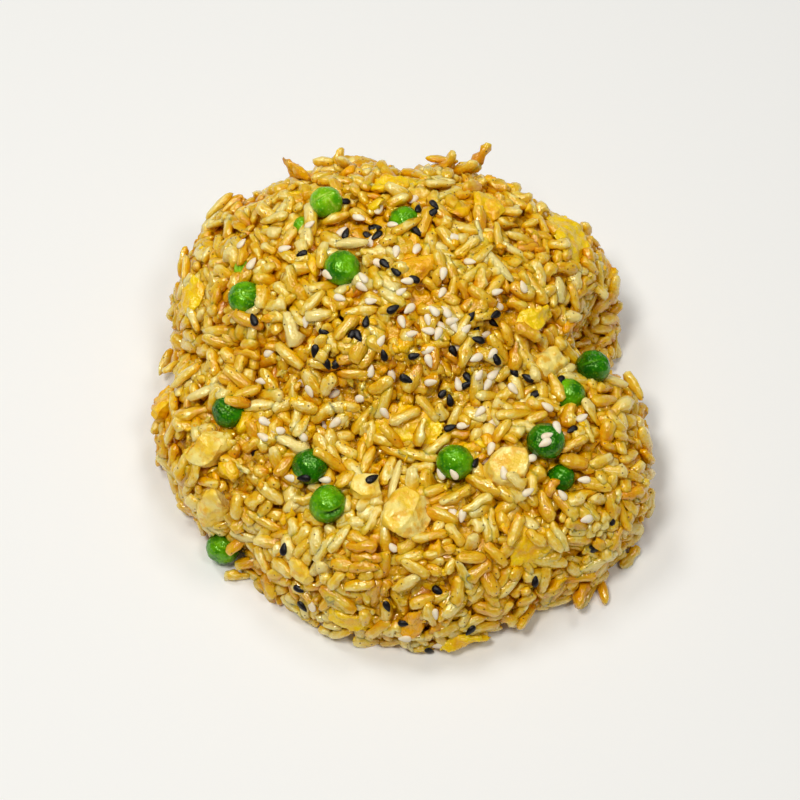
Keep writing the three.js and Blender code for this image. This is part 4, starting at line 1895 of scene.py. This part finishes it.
@dataclass
class Sesame:
    """Sesame seeds, each laid on what lies under its place in the view.

    A seed is its column and row in the view, and its heading in degrees from the right, anticlockwise. The
    ground's slope is felt some pixels round it. Sizes are in millimetres.
    """

    name: str
    finish: SeedFinish
    slot: str
    seeds: tuple[Triple, ...]
    length: float = 3.1
    width: float = 1.8
    thick: float = 0.95
    sizes: Span = (0.9, 1.1)
    segments: int = 10
    rings: int = 7
    taper: float = -0.75
    feelers: int = 6
    feel: float = 5.0
    same_ground: float = 3.0
    upright: float = 0.8
    raised: float = 0.28

    def shape(self) -> Shape:
        """Models one seed, a teardrop that points along X.

        Returns:
            The seed, one millimetre each way.
        """
        deselect()
        bpy.ops.mesh.primitive_uv_sphere_add(segments=self.segments, ring_count=self.rings, radius=0.5,
                                             location=(0, 0, 0))
        piece = bpy.context.object
        bpy.ops.object.mode_set(mode="EDIT")
        bpy.ops.mesh.select_all(action="SELECT")
        bpy.ops.transform.rotate(value=math.pi / 2, orient_axis="Y", center_override=(0, 0, 0))
        bpy.ops.object.mode_set(mode="OBJECT")
        taper = piece.modifiers.new("Taper", "SIMPLE_DEFORM")
        taper.deform_method, taper.deform_axis, taper.factor = "TAPER", "X", self.taper
        apply_modifiers(piece)
        points = points_of(piece)
        points = (points - (points.max(0) + points.min(0)) / 2) / (points.max(0) - points.min(0))
        move_points(piece, points)
        return Shape.of(piece)

    def facing(self, ground: BVHTree, column: float, row: float, place: Vector) -> np.ndarray:
        """Works out which way a seed faces.

        Args:
            ground: What the seed lies on.
            column: The seed's column in the view.
            row: Its row.
            place: Where it lies, in metres.

        Returns:
            The direction between straight out of the ground round it and straight out of the heap.
        """
        out = np.zeros(3)
        for turn in np.linspace(0, 2 * math.pi, self.feelers, endpoint=False):
            eye, near = SIGHT.ray(column + self.feel * math.cos(turn), row + self.feel * math.sin(turn))
            hit, normal, _, _ = ground.ray_cast(Vector(eye * MM), Vector(near))
            if hit is not None and (hit - place).length < self.same_ground * MM:
                out += np.array(normal)
        return unit(unit(out) + HEAP.facing(np.array(place)[None] / MM)[0] * self.upright)

    def build(self, ground: BVHTree) -> None:
        """Lays the seeds and joins them into one piece.

        Args:
            ground: What the seeds lie on.
        """
        shape = self.shape()
        random = seeded(self.name)
        scatter = Scatter(self.name)
        for column, row, heading in self.seeds:
            eye, ray = SIGHT.ray(column, row)
            place, _, _, _ = ground.ray_cast(Vector(eye * MM), Vector(ray))
            if place is None:
                LOG.warning("%s: no rice under %d, %d", self.name, column, row)
                continue
            out = self.facing(ground, column, row, place)
            along = SIGHT.tangent(column, row, heading, out)
            along = unit(along - out * (along @ out))
            if random.random() < 0.5:
                along = -along
            across = np.cross(out, along)
            grow = random.uniform(*self.sizes)
            turn = np.stack([along * self.length * grow, across * self.width * grow,
                             out * self.thick * grow], 1)
            scatter.add(shape, turn, np.array(place) / MM + out * self.thick * self.raised)
        dress(scatter.piece(), self.finish.material(self.name), self.slot)


SHOWN_GRAINS = (
    (337, 158, 50, 20), (326, 162, 0, 22), (245, 220, -45, 20), (273, 215, -30, 30), (215, 299, 70, 18),
    (234, 257, -60, 20), (259, 269, 45, 20), (275, 263, -30, 18), (269, 249, -30, 16), (292, 281, -80, 26),
    (312, 302, 45, 30), (283, 291, -50, 18), (331, 304, -55, 20), (290, 355, -40, 32), (233, 360, -45, 28),
    (216, 365, -70, 26), (181, 346, -55, 22), (223, 331, 0, 32), (220, 341, -10, 32), (206, 392, 25, 30),
    (190, 377, 40, 34), (239, 382, -40, 34), (334, 344, -50, 20), (348, 347, -10, 20), (365, 354, 55, 24),
    (306, 239, 80, 20), (289, 240, 45, 24), (336, 218, 20, 26), (441, 160, -10, 30), (466, 173, -25, 26),
    (440, 184, 0, 28), (498, 188, -15, 22), (519, 201, 0, 22), (480, 220, -80, 26), (498, 238, -80, 30),
    (466, 248, 40, 28), (521, 255, -35, 36), (538, 211, 45, 18), (530, 225, 20, 16), (566, 261, -20, 32),
    (543, 276, 45, 22), (573, 298, -75, 26), (538, 288, -60, 34), (597, 289, -40, 24), (448, 268, -65, 24),
    (465, 289, -60, 18), (471, 304, 60, 18), (506, 334, -70, 24), (528, 332, -30, 26), (514, 355, 80, 26),
    (533, 374, 30, 18), (483, 314, 5, 22), (592, 317, -60, 18), (185, 424, -35, 20), (173, 456, 80, 22),
    (238, 402, -10, 24), (284, 466, 50, 22), (344, 450, -30, 24), (365, 461, 70, 28), (367, 432, -60, 20),
    (385, 444, 0, 20), (271, 493, -40, 28), (239, 506, -80, 22), (256, 501, 10, 20), (263, 523, -25, 34),
    (244, 523, 30, 20), (271, 541, -20, 28), (239, 543, 40, 28), (307, 546, 40, 24), (327, 546, 45, 30),
    (336, 538, 45, 30), (294, 528, -80, 18), (362, 546, 5, 28), (367, 559, 0, 28), (344, 564, -10, 20),
    (337, 579, 35, 20), (360, 584, 10, 26), (339, 597, -35, 38), (264, 559, -60, 26), (238, 576, 0, 24),
    (271, 584, -70, 24), (188, 509, -25, 22), (514, 415, 5, 32), (534, 417, 20, 22), (503, 432, 55, 24),
    (569, 415, 80, 22), (586, 428, -65, 30), (572, 444, 25, 28), (574, 461, -15, 26), (610, 471, -5, 30),
    (607, 433, 80, 24), (417, 456, -10, 36), (456, 498, 35, 30), (478, 504, 30, 32), (516, 480, -40, 20),
    (528, 494, -50, 26), (564, 503, -45, 34), (582, 513, -35, 24), (596, 486, -10, 28), (622, 513, -70, 34),
    (602, 521, -80, 18), (506, 494, -45, 20), (455, 536, -60, 24), (440, 552, 20, 30), (410, 557, 10, 26),
    (473, 557, -10, 26), (496, 554, -40, 26), (536, 538, -40, 20), (557, 539, -50, 24), (576, 576, 0, 36),
    (602, 590, -75, 26), (557, 599, 25, 26), (506, 587, 40, 26), (488, 579, -60, 28), (458, 591, 80, 26),
    (488, 607, -15, 26), (506, 617, -20, 20), (422, 601, 20, 22), (629, 557, 45, 24), (632, 493, -45, 20),
)
BOLD_GRAINS = (
    (292, 329, -75, 32, 17, -0.35), (352, 243, 5, 30, 13, -0.4), (499, 266, -50, 36, 12, -0.3),
    (481, 238, -75, 34, 8, -0.2), (292, 444, -25, 34, 15, -0.2), (331, 461, -35, 36, 14, 0.05),
    (395, 480, 75, 38, 10, -0.35), (609, 379, -20, 42, 15, -0.3), (192, 412, 15, 34, 14, 0.0),
    (615, 410, 30, 34, 14, -0.1), (597, 561, 25, 40, 14, -0.1), (558, 245, 0, 22, 15, 0.0),
    (560, 290, -85, 24, 14, -0.15), (523, 351, -70, 34, 16, 0.0), (244, 536, -15, 26, 10, -0.3),
    (290, 206, 80, 18, 12, 0.0), (566, 316, 0, 28, 13, -0.1), (336, 181, 0, 34, 14, 0.1),
    (450, 163, 80, 24, 14, 0.1), (466, 169, 15, 30, 13, 0.0), (480, 156, 52, 30, 12, 0.1),
    (183, 262, 82, 30, 12, 0.0), (165, 362, 60, 28, 12, -0.2), (634, 386, -60, 30, 13, -0.1),
    (588, 594, 60, 30, 13, -0.1), (213, 220, 52, 34, 14, -0.1), (266, 590, -45, 28, 12, 0.2),
    (219, 206, 46, 34, 14, -0.1), (252, 574, -40, 30, 12, 0.0), (250, 562, 15, 28, 12, 0.1),
    (229, 207, 40, 34, 14, 0.1), (222, 222, 20, 30, 13, 0.0), (204, 236, 70, 30, 12, 0.1),
    (384, 402, 70, 32, 13, 0.1), (398, 452, -20, 34, 13, 0.05), (428, 408, -50, 30, 12, 0.0),
    (436, 446, 40, 32, 13, 0.1), (370, 436, 80, 30, 12, 0.05), (516, 530, 70, 30, 13, 0.1),
    (548, 560, -10, 34, 13, 0.05), (560, 536, -60, 28, 12, 0.0), (405, 416, 25, 30, 12, 0.0),
    (392, 436, -50, 28, 12, 0.1), (420, 432, 75, 26, 11, 0.05), (430, 536, 10, 32, 12, 0.1),
    (372, 520, 60, 30, 12, 0.0), (196, 470, 70, 30, 12, 0.05), (236, 464, -30, 30, 12, 0.0),
)
EGG_BITS = (
    (348, 170, 4.5, 0.5), (403, 345, 5.0, 0.0), (252, 352, 5.0, 0.1), (505, 527, 4.0, 0.2),
    (247, 420, 5.5, 0.0), (313, 265, 4.5, -0.1), (330, 438, 5.0, 0.2), (338, 551, 5.5, 0.9),
    (440, 625, 4.5, 0.9), (413, 240, 3.5, 0.5), (300, 310, 4.5, 0.3), (268, 318, 4.0, 0.3),
    (276, 345, 4.5, 0.3), (340, 290, 4.0, 0.5), (353, 290, 5.0, 0.7), (455, 366, 4.5, 0.3),
    (480, 365, 3.0, 0.9), (430, 350, 3.5, 0.2), (405, 247, 4.0, 0.3), (460, 210, 4.5, 0.4),
    (495, 200, 5.0, 0.5), (540, 250, 4.0, 0.6), (528, 345, 3.0, 0.6), (568, 326, 4.0, 0.8),
    (402, 488, 3.0, 0.9), (265, 488, 4.0, 0.8), (215, 478, 4.0, 0.9), (488, 440, 4.5, 0.5),
    (570, 460, 4.0, 0.3), (615, 455, 5.0, 0.8), (435, 550, 4.0, 0.6), (420, 545, 4.5, 0.2),
    (465, 560, 4.0, 0.1), (430, 585, 4.0, 0.1), (330, 605, 4.5, 0.2), (230, 470, 5.0, 0.3),
    (170, 415, 4.0, 0.3), (345, 330, 3.0, 0.7), (361, 321, 2.2, 1.0), (600, 545, 4.5, 0.2),
)
BROWNED = {
    "egg_toe_browned": 0.8, "egg_corner_fold": -0.4, "egg_corner_curl": 0.0, "egg_crisp_tip": 0.4,
    "egg_back_right": 0.4, "egg_crown": 0.4, "egg_left_lump": 0.2, "egg_right_crumb": -0.2,
}
BLACK_SEEDS = (
    (344, 202, 0), (302, 254, 20), (346, 234, 70), (375, 228, 0), (368, 236, -30), (377, 236, 40),
    (385, 264, -40), (396, 272, -35), (254, 320, -70), (393, 309, 30), (342, 321, -35), (366, 322, 80),
    (351, 336, 60), (358, 336, -60), (325, 333, -30), (315, 351, 80), (327, 364, -65), (337, 363, 45),
    (384, 355, -75), (418, 209, 80), (434, 205, -45), (434, 212, 35), (417, 232, -50), (414, 279, -30),
    (471, 316, 60), (495, 315, 30), (494, 323, -35), (476, 330, 70), (478, 340, -15), (453, 352, -70),
    (414, 356, 15), (496, 359, -65), (514, 372, -60), (528, 378, -30), (560, 381, 55), (468, 378, -55),
    (466, 385, 30), (406, 379, -25), (443, 393, 50), (450, 400, -80), (536, 394, 30), (254, 450, 85),
    (304, 478, 0), (372, 479, 30), (284, 549, 80), (299, 589, -30), (303, 606, -50), (387, 606, -65),
    (450, 428, 20), (572, 430, 30), (475, 463, 60), (593, 549, -5), (535, 581, 85), (438, 591, -40),
    (470, 630, 45), (612, 520, 80), (404, 623, 0), (429, 650, -20),
)
WHITE_SEEDS = (
    (310, 225, 35), (359, 218, -20), (379, 210, 50), (393, 225, 0), (342, 232, 45), (371, 242, 80),
    (285, 249, 15), (242, 244, 50), (252, 264, 55), (318, 271, -70), (328, 275, -40), (379, 264, -35),
    (363, 278, -50), (362, 287, -35), (340, 298, -20), (377, 292, 25), (372, 301, 10), (396, 252, 85),
    (270, 352, 40), (262, 381, 0), (300, 383, -10), (310, 391, -65), (334, 394, 35), (362, 398, 10),
    (392, 376, -70), (371, 371, 80), (381, 341, 60), (306, 322, 85), (413, 200, 45), (455, 238, -10),
    (416, 250, 60), (470, 262, -5), (443, 274, 80), (407, 281, 0), (401, 292, 30), (442, 293, 60),
    (497, 292, 15), (497, 306, -25), (523, 287, -70), (409, 309, 40), (434, 311, -45), (446, 312, -50),
    (402, 322, -70), (428, 320, -80), (452, 321, 15), (441, 326, -45), (454, 327, -60), (428, 331, -10),
    (438, 334, 70), (466, 329, 40), (412, 334, 10), (422, 345, 35), (428, 350, 20), (429, 361, -70),
    (458, 346, 60), (485, 335, 20), (476, 358, 25), (492, 354, 50), (479, 375, 60), (458, 384, -75),
    (431, 382, 10), (487, 385, 60), (493, 375, 40), (513, 389, -50), (265, 422, -30), (325, 425, 85),
    (335, 423, 40), (263, 437, -30), (278, 431, 0), (302, 436, -45), (385, 413, -55), (291, 478, -10),
    (325, 480, 0), (392, 547, -40), (312, 605, -70), (480, 412, 45), (547, 407, -35), (494, 423, -40),
    (463, 426, 5), (557, 428, -70), (582, 418, 30), (547, 436, 20), (545, 443, 30), (491, 449, 75),
    (441, 474, -60), (454, 474, -55), (530, 459, 20), (486, 461, 15), (504, 473, -80), (528, 492, 30),
    (584, 480, 0), (562, 495, -50), (453, 513, -70), (462, 516, 80), (586, 519, 15), (435, 614, -80),
    (438, 645, 10), (405, 638, 0),
)


# ---- Stage ----------------------------------------------------------------------------------------------


@dataclass
class Studio:
    """The table, the light and the camera, in metres. A lamp is its name, place, size, power and colour."""

    floor_side: float = 6.0
    floor_colour: Colour = (0.93, 0.93, 0.93)
    lamps: tuple[tuple[str, Triple, float, float, Colour], ...] = (
        ("key", (-0.22, -0.16, 0.77), 0.17, 2.8, (1.0, 0.97, 0.9)),
        ("left", (-0.38, 0.32, 0.85), 0.24, 2.1, (1.0, 1.0, 0.97)),
        ("right", (0.32, -0.26, 0.85), 0.2, 1.45, (1.0, 1.0, 0.97)),
        ("back", (0.22, 0.4, 0.85), 0.24, 1.35, (1.0, 1.0, 0.97)),
    )
    target: Triple = (0, 0, 0.02)
    sky: float = 0.12

    def light(self, name: str, place: Triple, size: float, power: float, warmth: Colour) -> None:
        """Adds an area light that looks at the heap.

        Args:
            name: The lamp's name.
            place: Where it hangs.
            size: How wide it is.
            power: Its power in watts.
            warmth: Its colour.
        """
        data = bpy.data.lights.new(name, "AREA")
        data.size, data.energy, data.color = size, power, warmth
        lamp = bpy.data.objects.new(name, data)
        lamp.location = place
        lamp.rotation_euler = (Vector(place) - Vector(self.target)).to_track_quat("Z", "Y").to_euler()
        bpy.context.scene.collection.objects.link(lamp)

    def build(self) -> None:
        """Makes the table, the lights, the sky and the camera."""
        deselect()
        bpy.ops.mesh.primitive_plane_add(size=self.floor_side, location=(0, 0, 0))
        floor = bpy.context.object
        floor.name = "table"
        material, _, shader = Surface(roughness=0.9, coat=0.0, scatter=0.0).start("pale_table")
        shader.inputs["Base Color"].default_value = (*self.floor_colour, 1)
        floor.data.materials.append(material)
        floor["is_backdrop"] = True
        for lamp in self.lamps:
            self.light(*lamp)
        world = bpy.data.worlds.new("sky")
        world.use_nodes = True
        background = world.node_tree.nodes["Background"]
        background.inputs["Color"].default_value = (1, 1, 1, 1)
        background.inputs["Strength"].default_value = self.sky
        bpy.context.scene.world = world
        view = bpy.context.scene.view_settings
        view.view_transform, view.look, view.exposure, view.gamma = "Standard", "None", 0.0, 1.0
        SIGHT.camera()


def ground_of() -> BVHTree:
    """Gathers all that grains, crumbs and seeds can lie on.

    Returns:
        The meshes of every piece so far, as one tree.
    """
    points, faces, total = [], [], 0
    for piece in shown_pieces():
        points.extend(vertex.co.copy() for vertex in piece.data.vertices)
        faces.extend([corner + total for corner in face.vertices] for face in piece.data.polygons)
        total = len(points)
    return BVHTree.FromPolygons(points, faces)


def main() -> None:
    """Builds the heap's parts in order, then the stage."""
    logging.basicConfig(level=logging.INFO, format="%(name)s: %(message)s")
    toppings = Toppings()
    Bed().build()
    Peas().build()
    fried_egg = FRIED_EGG.material("fried_egg")
    chicken = Chunks("chicken_", "chicken", "flesh", lumps=((3.4, 1.4), (1.6, 0.6)), smoothing=1,
                     tint=0.05, cuts=7)
    chicken.build(CHICKEN_FLESH.material("chicken_flesh"))
    egg = Chunks("egg_", "egg", "curd", lumps=((3.8, 1.9), (1.6, 1.0), (0.7, 0.3)), smoothing=3, tint=-0.2,
                 tints=BROWNED)
    egg.build(fried_egg)
    Grains(SHOWN_GRAINS, BOLD_GRAINS).build(toppings, ground_of())
    ground = ground_of()
    rice_crumbs = Crumbs("rice_crumbs", "rice", count=1500, sizes=(1.2, 3.2), flat=0.55, deepest=-2.8,
                         highest=0.5, tints=(0.1, 0.4))
    rice_crumbs.build(ground, bpy.data.materials["cooked_rice"])
    egg_crumbs = Crumbs("egg_crumbs", "egg", count=260, sizes=(1.2, 4.4), flat=0.45, deepest=-2.4, highest=1.6,
                        tints=(-0.4, 0.4), patchy=True, spots=EGG_BITS)
    egg_crumbs.build(ground, fried_egg)
    Sesame("white_sesame_seeds", WHITE_SEED, "white_sesame", WHITE_SEEDS).build(ground)
    Sesame("black_sesame_seeds", BLACK_SEED, "black_sesame", BLACK_SEEDS).build(ground)
    Studio().build()


if __name__ == "__main__":
    main()
